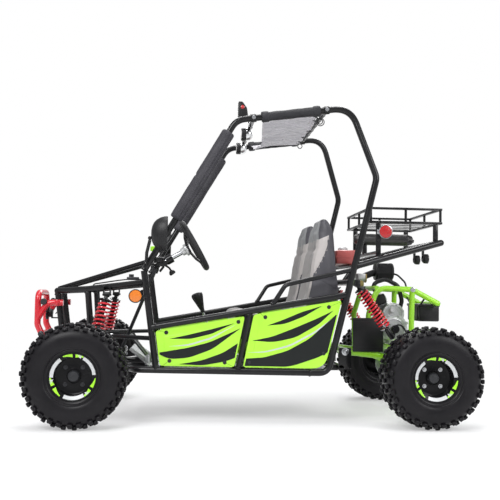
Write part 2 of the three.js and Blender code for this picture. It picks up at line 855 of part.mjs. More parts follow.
// The collar that holds the upper column, on a strut from the dash tube
const collarMiddle = onColumn(columnLength * columnCollarShare);
const collarEnd = (end) => collarMiddle.clone().addScaledVector(columnAxis, (end * columnCollarLength) / 2);
const collar = rod(collarEnd(-1), collarEnd(1), columnCollarRadius, frameSides);
const collarStrut = rod(dashPoint(left).setY(steerY), collarMiddle, slimTubeRadius);
const columnBore = rod(onColumn(0), onColumn(columnLength + columnCollarLength),
  boreRadius(columnRadius, touchGap, roundSides), roundSides);

// The rack housing with its pinion box, on two posts
const rackHousing = acrossAt(rackX, rackZ, rackHousingHalfLength, rackHousingRadius);
const shaftLean = jointBall.clone().sub(pinionTop).angleTo(at(0, 0, 1));
const pinionBox = blockBetween(
  at(rackX - rackHousingRadius, pinionY - rackHousingRadius, rackZ),
  at(rackX + rackHousingRadius, pinionY + rackHousingRadius,
    pinionTop.z - lowerShaftRadius * Math.sin(shaftLean) - touchGap));
const rackPosts = [left, right].map((side) =>
  block(rackX, side * rackHousingHalfLength * 0.8, (railZ + rackZ) / 2, rackHousingRadius, rackHousingRadius,
    rackZ - railZ));
const rackBore = rod(at(rackX, -2 * rackHousingHalfLength, rackZ), at(rackX, 2 * rackHousingHalfLength, rackZ),
  boreRadius(rackRadius, runGap));

const chassis = cut(
  join(chassisShapes, cut(join(collar, collarStrut), columnBore),
    cut(join(rackHousing, pinionBox, rackPosts), rackBore)),
  ...bothHoops(),
  ...[left, right].flatMap((side) => [
    railTube(side, snugRadius(tubeRadius)), postTube(side, snugRadius(tubeRadius)),
    dividerTube(side, snugRadius(dividerRadius)),
  ]));
add('chassis_frame', chassis, blackPaint());

// Floor pan with its raised toe board and the pedal and lever ears
const panZ = railZ + flatOf(tubeRadius) + touchGap;
function panSheet() {
  const lower = [[panRearX, panZ], [toeFootX, panZ], [toeFrontX, toeTopZ]].map(([x, z]) => new THREE.Vector2(x, z));
  const rise = Math.atan2(toeTopZ - panZ, toeFootX - toeFrontX);
  const shape = new THREE.Shape([
    ...lower,
    at(toeFrontX + panThickness * Math.sin(rise), toeTopZ + panThickness * Math.cos(rise), 0),
    at(toeFootX + panThickness * Math.tan(rise / 2), panZ + panThickness, 0),
    at(panRearX, panZ + panThickness, 0),
  ]);
  const wide = sideHalfWidth(panRearX);
  const sheet = new THREE.ExtrudeGeometry(shape, { depth: 2 * wide, bevelEnabled: false });
  sheet.rotateX(Math.PI / 2).translate(0, wide, 0);
  const edge = (x) => sideHalfWidth(x) - panEdgeGap;
  const plan = new THREE.Shape();
  plan.moveTo(toeFrontX - tubeRadius, -toeHalfWidth);
  plan.lineTo(frontPostX, -edge(frontPostX));
  plan.lineTo(panRearX + tubeRadius, -edge(panRearX));
  plan.lineTo(panRearX + tubeRadius, edge(panRearX));
  plan.lineTo(frontPostX, edge(frontPostX));
  plan.lineTo(toeFrontX - tubeRadius, toeHalfWidth);
  const keep = new THREE.ExtrudeGeometry(plan, { depth: toeTopZ, bevelEnabled: false }).translate(0, 0, railZ);
  return solid(sheet).intersect(solid(keep));
}

function ears(x, y, z, gapWidth, pinRadius, rise) {
  const half = gapWidth / 2 + touchGap;
  const sides = [-1, 1].map((end) => {
    const ys = [y + end * half, y + end * (half + earThickness)];
    return blockBetween(at(x - rise, Math.min(...ys), panZ), at(x + rise, Math.max(...ys), z + rise));
  });
  return [...sides, rod(at(x, y - half - earThickness, z), at(x, y + half + earThickness, z), pinRadius)];
}

const seatPosts = [left, right].flatMap((side) => [seatTubeFrontX, seatTubeRearX].map((x) =>
  rod(at(x, side * innerRailY, railZ), at(x, side * innerRailY, seatTubeZ), slimTubeRadius + touchGap * 4,
    squareSides)));
const pan = cut(
  join(panSheet(), ears(pedalPivotX, brakePedalY, pedalPivotZ, pedalWidth, pedalPinRadius, pedalSleeveRadius),
    ears(pedalPivotX, throttlePedalY, pedalPivotZ, pedalWidth, pedalPinRadius, pedalSleeveRadius),
    ears(shiftPivotX, 0, shiftPivotZ, shiftSleeveRadius * 2, pedalPinRadius, shiftSleeveRadius)),
  seatPosts, postTube(left, snugRadius(tubeRadius)), postTube(right, snugRadius(tubeRadius)), ...bothHoops());
add('floor_pan', pan, greySteel());

// Pedals: a plate on an arm that turns on the pin between its ears
function pedal(y) {
  const pivot = at(pedalPivotX, y, pedalPivotZ);
  const sleeve = rod(at(pivot.x, y - pedalWidth / 2, pivot.z), at(pivot.x, y + pedalWidth / 2, pivot.z),
    pedalSleeveRadius);
  const tip = at(pivot.x - pedalReach, y, pivot.z + pedalRise);
  const length = Math.hypot(pedalReach, pedalRise);
  const plate = new THREE.BoxGeometry(length, pedalWidth, pedalPlateThickness);
  plate.rotateY(Math.atan2(pedalRise, pedalReach));
  plate.translate((pivot.x + tip.x) / 2, y, (pivot.z + tip.z) / 2);
  const bore = rod(at(pivot.x, y - pedalWidth, pivot.z), at(pivot.x, y + pedalWidth, pivot.z),
    boreRadius(pedalPinRadius, runGap));
  return cut(join(sleeve, plate), bore);
}
add('brake_pedal', pedal(brakePedalY), greySteel());
add('throttle_pedal', pedal(throttlePedalY), greySteel());

// Gear lever: a sleeve on its pin, a thin stalk and a flared knob
const shiftPivot = at(shiftPivotX, 0, shiftPivotZ);
const shiftKnob = at(shiftKnobX, 0, shiftKnobZ);
const shiftAxis = shiftKnob.clone().sub(shiftPivot).normalize();
const knobProfileShares = [[0, 0], [0.32, 0], [0.42, 0.2], [1, 0.84], [0.9, 0.97], [0, 1]];
const knob = turned(knobProfileShares.map(([wide, high]) => [wide * shiftKnobRadius, high * shiftKnobHeight]),
  tubeSides);
knob.translate(0, -shiftKnobHeight, 0);
knob.applyQuaternion(new THREE.Quaternion().setFromUnitVectors(at(0, 1, 0), shiftAxis));
knob.translate(shiftKnob.x, shiftKnob.y, shiftKnob.z);
const shiftSleeve = acrossAt(shiftPivotX, shiftPivotZ, shiftSleeveRadius, shiftSleeveRadius);
const shiftBore = acrossAt(shiftPivotX, shiftPivotZ, 2 * shiftSleeveRadius, boreRadius(pedalPinRadius, runGap));
add('shift_lever', cut(join(shiftSleeve, rod(shiftPivot, shiftKnob, shiftRadius), knob), shiftBore), blackPlastic());

// Steering wheel with dished spokes, hub and upper column
function steeringWheel() {
  const up = at(columnAxis.z, 0, -columnAxis.x).normalize();
  const torus = new THREE.TorusGeometry(wheelRingRadius, wheelGripRadius, frameSides, steeringSides);
  torus.applyQuaternion(new THREE.Quaternion().setFromUnitVectors(at(0, 0, 1), columnAxis));
  torus.translate(wheelX, steerY, wheelZ);
  const hubTop = onColumn(wheelHubDrop - wheelHubThickness / 2);
  const hubLow = onColumn(wheelHubDrop + wheelHubThickness / 2);
  const hub = rod(hubTop, hubLow, wheelHubRadius, roundSides);
  const spokes = [1 / 4, 2 / 3, 0.92].map((share) => {
    const angle = (share - 1 / 4 + 1 / 2) * Math.PI * 2;
    const outer = onColumn(0).addScaledVector(up, wheelRingRadius * Math.cos(angle))
      .add(at(0, wheelRingRadius * Math.sin(angle), 0));
    return rod(onColumn(wheelHubDrop), outer, spokeRadius, squareSides);
  });
  const column = rod(onColumn(wheelHubDrop), onColumn(columnLength - touchGap), columnRadius, roundSides);
  return join(torus, hub, spokes, column);
}
add('steering_wheel', steeringWheel(), blackPlastic());

// Lower shaft from the ball joint down to the pinion box
add('steering_shaft', join(ball(jointBall, jointBallRadius), rod(jointBall, pinionTop, lowerShaftRadius)),
  brightSteel());

// Rack bar with the flat ends that carry the tie rods
const rackEnd = (side) => at(rackX, side * armPivotY, rackZ);
const rackBar = join(
  acrossAt(rackX, rackZ, armPivotY, rackRadius),
  [left, right].map((side) => block(rackX, rackEnd(side).y, rackZ, rackEndLength, rackEndLength, 2 * rackRadius)));
add('steering_rack', rackBar, brightSteel());

// Tie rods hang under the rack ends and lie on the steering arms
const tieZ = rackZ - rackRadius - rackTieGap - tieBallRadius;
for (const side of [left, right]) {
  const inner = rackEnd(side).setZ(tieZ);
  const outer = at(steerArmX, side * steerArmY, steerArmZ + steerArmThickness / 2 + touchGap + tieBallRadius);
  add(`tie_rod_${sideName(side)}`,
    join(ball(inner, tieBallRadius), ball(outer, tieBallRadius), rod(inner, outer, tieRodRadius)), brightSteel());
}

// Front arms: two legs, bushes, a plate with kingpin ears and the damper lugs
for (const side of [left, right]) {
  const plateMiddle = at(frontAxleX, side * kingpinPlateY, axleZ);
  const legs = [armBushFrontX, armBushRearX].flatMap((bushX) => [
    rod(at(bushX - armBushLength / 2, side * armPivotY, armPivotZ),
      at(bushX + armBushLength / 2, side * armPivotY, armPivotZ), armBushRadius),
    rod(at(bushX, side * armPivotY, armPivotZ), armLegEnd(side, bushX), armTubeRadius),
  ]);
  const backPlate = block(plateMiddle.x, plateMiddle.y, plateMiddle.z, 2 * kingpinPlateHalfLength,
    kingpinPlateThickness, 2 * (kingpinHalfHeight + kingpinPlateThickness / 2));
  const kingEars = [-1, 1].map((end) => blockBetween(
    at(frontAxleX - kingpinPlateHalfLength, Math.min(side * kingpinPlateY, side * (kingpinY + kingpinBarrelRadius)),
      axleZ + end * kingpinHalfHeight - kingpinPlateThickness / 2),
    at(frontAxleX + kingpinPlateHalfLength, Math.max(side * kingpinPlateY, side * (kingpinY + kingpinBarrelRadius)),
      axleZ + end * kingpinHalfHeight + kingpinPlateThickness / 2)));
  const foot = frontShockFoot(side);
  const lugs = lugPair(foot, frontEyeReach, at(0, foot.y - eyeRadius, axleZ),
    at(0, foot.y + eyeRadius, foot.z + eyeRadius), 'x');
  const reach = frontEyeReach + runGap + lugThickness;
  const seat = blockBetween(at(foot.x - reach, foot.y - eyeRadius, axleZ - armTubeRadius / 2),
    at(foot.x + reach, foot.y + eyeRadius, axleZ + armTubeRadius));
  add(`front_arm_${sideName(side)}`, join(legs, backPlate, kingEars, lugs, seat), blackPaint());
}

// Knuckles: kingpin barrel, wheel spindle and steering arm
const frontSpindleEnd = frontWheelY + rimDiscOffset - rimDiscThickness;
for (const side of [left, right]) {
  const king = at(frontAxleX, side * kingpinY, axleZ);
  const barrel = rod(at(king.x, king.y, axleZ - kingpinBarrelHalfHeight),
    at(king.x, king.y, axleZ + kingpinBarrelHalfHeight), kingpinBarrelRadius, roundSides);
  const earFace = kingpinHalfHeight - kingpinPlateThickness / 2 - touchGap;
  const pins = rod(at(king.x, king.y, axleZ - earFace), at(king.x, king.y, axleZ + earFace), axleRadius, roundSides);
  const spindle = rod(king, at(king.x, side * frontSpindleEnd, axleZ), axleRadius, roundSides);
  const armEnd = at(steerArmX, side * steerArmY, steerArmZ);
  const arm = rod(at(king.x, king.y, steerArmZ), armEnd, steerArmThickness / 2);
  const pad = rod(armEnd.clone().setZ(steerArmZ - steerArmThickness / 2),
    armEnd.clone().setZ(steerArmZ + steerArmThickness / 2), tieBallRadius);
  add(`knuckle_${sideName(side)}`, join(barrel, pins, spindle, arm, pad), greySteel());
}

// Tyres: a hollow carcass open towards the rim, seated between the rim lips
const treadShares = [[0.42, 1], [0.84, 0.92], [1, 0.42]];
const cavityShare = 0.62;
function tyre(width) {
  const outerRadius = tyreRadius / Math.cos(Math.PI / wheelSides);
  const bead = rimSeatRadius + touchGap;
  const half = width / 2;
  const beadHalf = half - rimLipInset - rimLipThickness - touchGap;
  const place = ([high, wide], end) => [bead + high * (outerRadius - bead), end * wide * half];
  return turned([
    [bead, beadHalf], ...treadShares.map((share) => place(share, 1)),
    ...[...treadShares].reverse().map((share) => place(share, -1)), [bead, -beadHalf],
    [bead, tyreWall - beadHalf], [outerRadius - tyreWall, -cavityShare * half],
    [outerRadius - tyreWall, cavityShare * half], [bead, beadHalf - tyreWall],
  ], wheelSides, true);
}

// Rims: barrel with lips, dished disc, hub with a blind bore and cap; the outer face is +Y
function rim(width, boreSize) {
  const lip = width / 2 - rimLipInset;
  const seat = rimSeatRadius;
  const inside = seat - rimWall;
  const dish = rimDiscOffset - rimDishDepth;
  const boreEnd = rimDiscOffset - rimDiscThickness + touchGap;
  return turned([
    [0, rimDiscOffset + hubCapHeight], [hubCapRadius, rimDiscOffset + hubCapHeight], [hubCapRadius, dish],
    [inside, rimDiscOffset], [inside, lip], [rimLipRadius, lip], [seat, lip - rimLipThickness],
    [seat, rimLipThickness - lip], [rimLipRadius, -lip], [inside, rimWall - lip],
    [inside, rimDiscOffset - rimDiscThickness],
    [hubRadius, dish - rimDiscThickness], [hubRadius, rimDiscOffset - hubLength],
    [boreSize, rimDiscOffset - hubLength], [boreSize, boreEnd], [0, boreEnd],
  ]);
}

const wheelPlaces = [
  ['front', frontAxleX, frontWheelY, frontTyreWidth, boreRadius(axleRadius, touchGap, wheelSides)],
  ['rear', rearAxleX, rearWheelY, rearTyreWidth, boreRadius(rearAxleRadius, touchGap, wheelSides)],
];
for (const [place, x, y, width, boreSize] of wheelPlaces) {
  for (const side of [left, right]) {
    const wheel = new THREE.Group();
    wheel.position.set(x, side * y, axleZ);
    wheel.rotation.z = side === left ? Math.PI : 0;
    add(`tyre_${place}_${sideName(side)}`, tyre(width), tyreRubber(), wheel);
    add(`rim_${place}_${sideName(side)}`, rim(width, boreSize), blackPlastic(), wheel);
    kart.add(wheel);
  }
}

// Springs: one unbroken wire whose ends stand straight up from the seats
function springLine(length, curls) {
  const start = springWire;
  const climb = length - 2 * springWire;
  const points = [at(springRadius, 0, 0)];
  for (let i = 0; i <= curls * curlSteps; i++) {
    const share = i / (curls * curlSteps);
    const angle = share * curls * Math.PI * 2;
    points.push(at(springRadius * Math.cos(angle), springRadius * Math.sin(angle), start + climb * share));
  }
  points.push(at(springRadius, 0, length));
  return points;
}

// The least gap between turns, measured on the points one turn apart
function leastTurnGap(points) {
  let least = Infinity;
  for (let i = 0; i < points.length; i++) {
    for (let k = i + curlSteps - 1; k < points.length; k++) {
      least = Math.min(least, points[i].distanceTo(points[k]) - springWire);
    }
  }
  return least;
}

// A turned shape that stands along Z, from [radius, height] pairs
const turnedUp = (profile, sides = tubeSides, closed = false) =>
  turned(profile, sides, closed).rotateX(Math.PI / 2);

// A spring and damper unit between its two eyes, built along its own Z from the foot eye
function shockUnit(name, top, foot, springLength, springDrop, curls) {
  const length = top.distanceTo(foot);
  const unit = new THREE.Group();
  unit.position.copy(foot);
  unit.quaternion.setFromUnitVectors(at(0, 0, 1), top.clone().sub(foot).normalize());
  const topSeatZ = length - springDrop;
  const springTopZ = topSeatZ - springSeatThickness - touchGap;
  const springLowZ = springTopZ - springLength;
  const lowSeatZ = springLowZ - touchGap;
  const damperLowZ = lowSeatZ + damperOverlap;
  const boreTopZ = topSeatZ - damperCap;
  const rodTopZ = boreTopZ - damperOverlap;
  const boreSize = boreRadius(damperRodRadius, runGap, tubeSides);
  const eye = (z, up) => eyeShares.map(([wide, high]) => [wide * eyeRadius, z + up * high * eyeRadius]);
  const damper = turnedUp([
    [0, length + eyeRadius], ...eye(length, 1), [damperRadius * 0.6, topSeatZ], [springSeatRadius, topSeatZ],
    [springSeatRadius, topSeatZ - springSeatThickness], [damperRadius, topSeatZ - springSeatThickness],
    [damperRadius, damperLowZ], [boreSize, damperLowZ], [boreSize, boreTopZ], [0, boreTopZ],
  ]);
  add(`${name}_damper`, damper, blackPaint(), unit);
  const lower = turnedUp([
    [0, -eyeRadius], ...eye(0, -1), [damperRodRadius, eyeRadius], [damperRodRadius, lowSeatZ - springSeatThickness],
    [springSeatRadius, lowSeatZ - springSeatThickness], [springSeatRadius, lowSeatZ], [damperRodRadius, lowSeatZ],
    [damperRodRadius, rodTopZ], [0, rodTopZ],
  ]);
  add(`${name}_rod`, lower, brightSteel(), unit);
  const line = springLine(springLength, curls);
  const wire = sweep(roundShape(springWire / 2, wireSides), line).translate(0, 0, springLowZ);
  add(`${name}_spring`, wire, redPaint(), unit);
  console.log(`${name} spring: least gap between turns ${leastTurnGap(line).toFixed(2)} mm`);
  kart.add(unit);
}
for (const side of [left, right]) {
  shockUnit(`front_shock_${sideName(side)}`, frontShockTop(side), frontShockFoot(side), frontSpringLength,
    frontSpringDrop, frontCurls);
  shockUnit(`rear_shock_${sideName(side)}`, rearShockTop(side), rearShockFoot(side), rearSpringLength,
    rearSpringDrop, rearCurls);
}

// Rear axle with its sprocket and brake disc
const rearAxleEnd = rearWheelY + rimDiscOffset - rimDiscThickness;
const axleDisc = (y, radius) => rod(at(rearAxleX, y - axleDiscThickness / 2, axleZ),
  at(rearAxleX, y + axleDiscThickness / 2, axleZ), radius, roundSides);
add('rear_axle', join(
  rod(at(rearAxleX, -rearAxleEnd, axleZ), at(rearAxleX, rearAxleEnd, axleZ), rearAxleRadius, roundSides),
  axleDisc(sprocketY, sprocketRadius), axleDisc(brakeDiscY, brakeDiscRadius)), brightSteel());

// Swing arm carrier: pivot tube, side tubes, axle housing, loops over the engine and the box on its hooks
function swingArm() {
  const shapes = [
    acrossAt(swingPivotX, swingPivotZ, swingPivotHalfWidth, swingPivotTubeRadius),
    rod(at(rearAxleX, -housingHalfLength, axleZ), at(rearAxleX, housingHalfLength, axleZ), housingRadius, tubeSides),
    acrossAt(rearShockFootX, shockCrossZ, rearShockY + eyeRadius + lugThickness, swingTubeRadius),
    acrossAt(loopTopX, loopTopZ, swingSideY, swingTubeRadius * 0.7, squareSides),
    acrossAt(uprightTopX, uprightTopZ, swingSideY, swingTubeRadius * 0.7, squareSides),
    blockBetween(at(batteryFrontX, -batteryHalfWidth, batteryTopZ - batteryHeight),
      at(batteryRearX, batteryHalfWidth, batteryTopZ)),
    acrossAt(hookX, hookZ, swingSideY, swingTubeRadius * 0.7, squareSides),
  ];
  const guardYs = [-swingSideY - swingTubeRadius - guardThickness, -swingSideY];
  shapes.push(blockBetween(at(guardFrontX, guardYs[0], guardLowZ - swingTubeRadius * 2),
    at(guardRearX, guardYs[1], guardTopZ)));
  for (const side of [left, right]) {
    const y = side * swingSideY;
    const middle = at(swingMidX, y, swingMidZ);
    const pivot = at(swingPivotX, y, swingPivotZ);
    const foot = rearShockFoot(side);
    shapes.push(
      tube([pivot, middle, at(rearAxleX, y, axleZ)], swingTubeRadius, loopBend, frameSides),
      tube([atStation(pivot, middle, loopFootX), at(loopLowX, y, loopLowZ), at(loopTopX, y, loopTopZ),
        at(uprightTopX, y, uprightTopZ)], swingTubeRadius * 0.85, loopBend, frameSides),
      rod(at(rearAxleX, y, axleZ), at(uprightTopX, y, uprightTopZ), swingTubeRadius * 0.85),
      rod(at(uprightTopX, y, uprightTopZ), at(hookX, y, hookZ), swingTubeRadius * 0.85),
      rod(atStation(middle, at(rearAxleX, y, axleZ), foot.x), at(foot.x, y, shockCrossZ), swingTubeRadius * 0.85),
      lugPair(foot, rearEyeReach, at(foot.x - eyeRadius, 0, shockCrossZ),
        at(foot.x + eyeRadius, 0, foot.z + eyeRadius), 'y'));
  }
  const axleBore = rod(at(rearAxleX, -2 * housingHalfLength, axleZ), at(rearAxleX, 2 * housingHalfLength, axleZ),
    boreRadius(rearAxleRadius, bearingGap, roundSides), roundSides);
  const pivotBore = acrossAt(swingPivotX, swingPivotZ, 2 * swingPivotHalfWidth, boreRadius(slimTubeRadius, runGap));
  return cut(join(...shapes.flat()), axleBore, pivotBore);
}
add('swing_arm', swingArm(), limePaint());

// Engine: crankcase, side covers, cylinder and head, carburettor, intake and air filter
function engine() {
  const crank = acrossAt(engineX, engineZ, crankcaseHalfWidth, crankcaseRadius);
  const cover = rod(at(engineX, -crankcaseHalfWidth - sideCoverThickness, engineZ),
    at(engineX, crankcaseHalfWidth + sideCoverThickness, engineZ), sideCoverRadius, roundSides);
  const axis = at(cylinderTopX - engineX, 0, cylinderTopZ - engineZ);
  const cylinder = new THREE.BoxGeometry(cylinderDepth, 2 * cylinderHalfWidth, axis.length());
  cylinder.applyQuaternion(new THREE.Quaternion().setFromUnitVectors(at(0, 0, 1), axis.clone().normalize()));
  cylinder.translate(engineX + axis.x / 2, 0, engineZ + axis.z / 2);
  const head = at(cylinderTopX, 0, cylinderTopZ);
  const carb = rod(at(carbX - carbRadius, 0, carbZ), at(carbX + carbRadius, 0, carbZ), carbRadius);
  const bowl = rod(at(carbX, 0, carbZ), at(carbX, 0, carbZ - 2 * carbRadius), carbRadius * 0.8);
  const intake = tube([head.clone().addScaledVector(axis, -0.2), at(carbX, 0, (carbZ + cylinderTopZ) / 2),
    at(carbX, 0, carbZ)], intakeRadius, carbRadius);
  const inlet = rod(at(carbX, 0, carbZ), at(filterFrontX + filterRadius / 2, 0, filterZ), intakeRadius * 1.4);
  const filter = rod(at(filterFrontX, 0, filterZ), at(filterRearX, 0, filterZ), filterRadius, roundSides);
  const footTop = engineZ - crankcaseRadius / 2;
  const footLow = shockCrossZ + flatOf(swingTubeRadius) + touchGap;
  const foot = blockBetween(at(rearShockFootX - swingTubeRadius, -crankcaseHalfWidth / 2, footLow),
    at(rearShockFootX + swingTubeRadius, crankcaseHalfWidth / 2, footTop));
  return join(crank, cover, cylinder, carb, bowl, intake, inlet, filter, foot);
}
add('engine', engine(), aluminium());

// Rear subframe: sloped side tubes, cross tubes, struts, shock lugs, rack posts, saddle and tail lamps
const slopeAt = (side, x) => atStation(pillarAt(side, subframeFrontZ),
  at(subframeEndX, side * subframeEndHalfWidth, subframeEndZ), x);
const slopeAcross = (x, radius) => rod(slopeAt(left, x), slopeAt(right, x), radius);

const saddleShare = 0.85;
const rackCrossRise = 34;
const rackCrossZ = slopeAt(left, rackPostFrontX).z + rackCrossRise;
function rearSubframe() {
  const shapes = [slopeAcross(tankTubeX, slimTubeRadius), slopeAcross(subframeEndX, tubeRadius),
    acrossAt(rackPostFrontX, rackCrossZ, cargoHalfWidth, slimTubeRadius)];
  const shockPillar = (side) => pillarAt(side, shockTubeZ);
  shapes.push(buttedRod(shockPillar(left), shockPillar(right), tubeRadius));
  const tankTube = slopeAt(left, tankTubeX);
  for (const side of [left, right]) {
    const top = rearShockTop(side);
    const frontZ = slopeAt(side, rackPostFrontX).z;
    const postTop = cargoFloorZ - flatOf(cargoTubeRadius, squareSides) - touchGap;
    const half = rackPostWidth / 2;
    const y = side * cargoHalfWidth;
    shapes.push(
      buttedRod(pillarAt(side, subframeFrontZ), at(subframeEndX, side * subframeEndHalfWidth, subframeEndZ),
        tubeRadius),
      rod(at(shockPillar(side).x, side * (rearShockY - eyeRadius * 3), shockTubeZ),
        at(tankTubeX, side * (rearShockY - eyeRadius * 3), tankTube.z), slimTubeRadius),
      lugPair(top, rearEyeReach, at(shockPillar(side).x, 0, shockTubeZ - tubeRadius),
        at(top.x + eyeRadius, 0, shockTubeZ + tubeRadius), 'y'),
      rod(slopeAt(side, rackPostFrontX), at(rackPostFrontX, y, frontZ), slimTubeRadius),
      blockBetween(at(rackPostFrontX - half, y - rackPostThickness / 2, frontZ - slimTubeRadius),
        at(rackPostFrontX + half, y + rackPostThickness / 2, postTop)),
      blockBetween(at(rackPostRearX - half, y - rackPostThickness / 2, subframeEndZ),
        at(rackPostRearX + half, y + rackPostThickness / 2, postTop)));
    const lampY0 = side * tailLampY;
    shapes.push(
      blockBetween(at(subframeEndX - tubeRadius, lampY0 - tailLampRadius / 2, subframeEndZ - tailLampDrop),
        at(subframeEndX - tubeRadius / 2, lampY0 + tailLampRadius / 2, subframeEndZ)),
      rod(at(subframeEndX - tubeRadius, lampY0, subframeEndZ - tailLampDrop),
        at(subframeEndX - tubeRadius + tailLampDepth, lampY0, subframeEndZ - tailLampDrop), tailLampRadius));
  }
  const saddleTop = silencerZ - silencerRadius * saddleShare;
  shapes.push(blockBetween(
    at(rackPostFrontX - slimTubeRadius, silencerY - silencerRadius / 2, rackCrossZ),
    at(rackPostFrontX + slimTubeRadius, silencerY + silencerRadius / 2, saddleTop)));
  return cut(join(...shapes.flat()), ...bothHoops(),
    rod(at(silencerFrontX, silencerY, silencerZ), at(silencerRearX, silencerY, silencerZ),
      snugRadius(silencerRadius, roundSides), roundSides));
}
add('rear_subframe', rearSubframe(), blackPaint());

// Silencer: a drum with domed ends and a tail pipe
const silencerLength = silencerRearX - silencerFrontX;
const silencerShares = [[0, 0], [0.7, 0.01], [1, 0.08], [1, 0.92], [0.7, 0.99], [0, 1]];
const silencer = turned(silencerShares.map(([wide, long]) => [wide * silencerRadius, long * silencerLength]),
  roundSides);
silencer.rotateZ(-Math.PI / 2).translate(silencerFrontX, silencerY, silencerZ);
add('silencer', silencer, blackPaint());

// Fuel tank and its screw cap
const tankZ = slopeAt(left, tankTubeX).z + flatOf(slimTubeRadius) + touchGap;
function tank() {
  const shape = new THREE.Shape();
  const [low, high] = [tankZ, tankZ + tankHeight];
  shape.moveTo(tankFrontX, low);
  shape.lineTo(tankRearX, low);
  shape.lineTo(tankRearX, high - tankCorner);
  shape.quadraticCurveTo(tankRearX, high, tankRearX - tankCorner, high);
  shape.lineTo(tankFrontX + tankCorner, high);
  shape.quadraticCurveTo(tankFrontX, high, tankFrontX, high - tankCorner);
  const extruded = new THREE.ExtrudeGeometry(shape,
    { depth: 2 * tankHalfWidth, bevelEnabled: false, curveSegments: 4 });
  extruded.rotateX(Math.PI / 2).translate(0, tankHalfWidth, 0);
  const neckX = (tankFrontX + tankRearX) / 2;
  const neck = rod(at(neckX, 0, high - tankCorner), at(neckX, 0, high + capHeight / 3), capRadius * 0.8, roundSides);
  return join(extruded, neck);
}
add('fuel_tank', tank(), redTank());
const capZ = tankZ + tankHeight + capHeight / 3 + touchGap;
const cap = turned(
  [[0, 0], [capRadius, 0], [capRadius, capHeight * 0.7], [capRadius * 0.8, capHeight], [0, capHeight]], roundSides);
cap.rotateX(Math.PI / 2).translate((tankFrontX + tankRearX) / 2, 0, capZ);
add('fuel_cap', cap, aluminium());

// Cargo rack: floor frame, flat slats, posts and a top rail
function cargoRack() {
  const corners = (z, x0 = cargoFrontX, x1 = cargoRearX) => [
    at(x0, -cargoHalfWidth, z), at(x1, -cargoHalfWidth, z), at(x1, cargoHalfWidth, z), at(x0, cargoHalfWidth, z)];
  const shapes = [];
  for (const z of [cargoFloorZ, cargoRailZ]) {
    const ring = corners(z);
    ring.forEach((corner, i) => {
      const next = ring[(i + 1) % ring.length];
      const along = next.clone().sub(corner).setLength(cargoTubeRadius);
      shapes.push(rod(corner.clone().sub(along), next.clone().add(along), cargoTubeRadius, squareSides));
    });
  }
  const middleX = (cargoFrontX + cargoRearX) / 2;
  const postPlaces = [
    ...[cargoFrontX, middleX, cargoRearX].flatMap((x) => [[x, -cargoHalfWidth], [x, cargoHalfWidth]]),
    [cargoFrontX, 0], [cargoRearX, 0],
  ];
  for (const [x, y] of postPlaces) {
    shapes.push(rod(at(x, y, cargoFloorZ), at(x, y, cargoRailZ), cargoTubeRadius * 0.9, squareSides));
  }
  const pitch = (2 * cargoHalfWidth) / (cargoSlats + 1);
  for (let i = 1; i <= cargoSlats; i++) {
    shapes.push(block(middleX, i * pitch - cargoHalfWidth, cargoFloorZ, cargoRearX - cargoFrontX, cargoSlatWidth,
      cargoSlatThickness));
  }
  return join(...shapes);
}
add('cargo_rack', cargoRack(), blackPaint());

// Front bumper: one bowed hoop on two arms that lie against the nose posts
function bumper() {
  const armY = noseTipHalfWidth + 2 * flatOf(tubeRadius) + bumperArmGap;
  const leg = (side) => [
    at(bumperX + bumperFootSetback, side * bumperHoopHalfWidth, bumperFootZ),
    at(bumperX, side * bumperHoopHalfWidth, bumperBellyZ), at(bumperX, side * bumperHoopHalfWidth, bumperTopZ),
  ];
  const shapes = [
    tube([...leg(left), ...leg(right).reverse()], tubeRadius, [bumperBend, bumperHoopBend, bumperHoopBend, bumperBend]),
    rod(leg(left)[0], leg(right)[0], tubeRadius),
  ];
  for (const side of [left, right]) {
    const shoulder = at(bumperX + bumperShoulderSetback, side * armY, bumperShoulderZ);
    shapes.push(
      tube([at(bumperX, side * bumperHoopHalfWidth, bumperKneeZ), shoulder,
        at(bumperArmEndX, side * armY, bumperShoulderZ)], tubeRadius, bumperShoulderSetback));
  }
  return join(shapes);
}
add('front_bumper', bumper(), redPaint());

// Roof cross bars: clips round the rails, with the lamps on the front one
function roofBar(x) {
  const ends = [roofRailAt(left, x), roofRailAt(right, x)];
  const clips = ends.map((end) => {
    const along = roofRailAt(left, x + 1).sub(roofRailAt(left, x)).setLength(roofBarClip / 2);
    return rod(end.clone().sub(along), end.clone().add(along), 1.3 * (tubeRadius + lugThickness), squareSides);
  });
  return cut(join(rod(ends[0], ends[1], roofBarRadius), clips), ...bothHoops());
}
function lampAssembly(side) {
  const z = roofRailAt(side, roofBarFrontX).z - lampDrop;
  const y = side * lampY;
  const hanger = block(roofBarFrontX, y, z + lampDrop / 2, roofBarRadius, lampRadius, lampDrop);
  const back = roofBarFrontX + roofBarRadius;
  const profile = [[0, 0], [lampRadius * 0.5, 0], [lampRadius, lampLength * 0.45], [lampRadius, lampLength],
    [0, lampLength]];
  const housing = turned(profile, roundSides).rotateZ(Math.PI / 2).translate(back, y, z);
  return [hanger, housing];
}
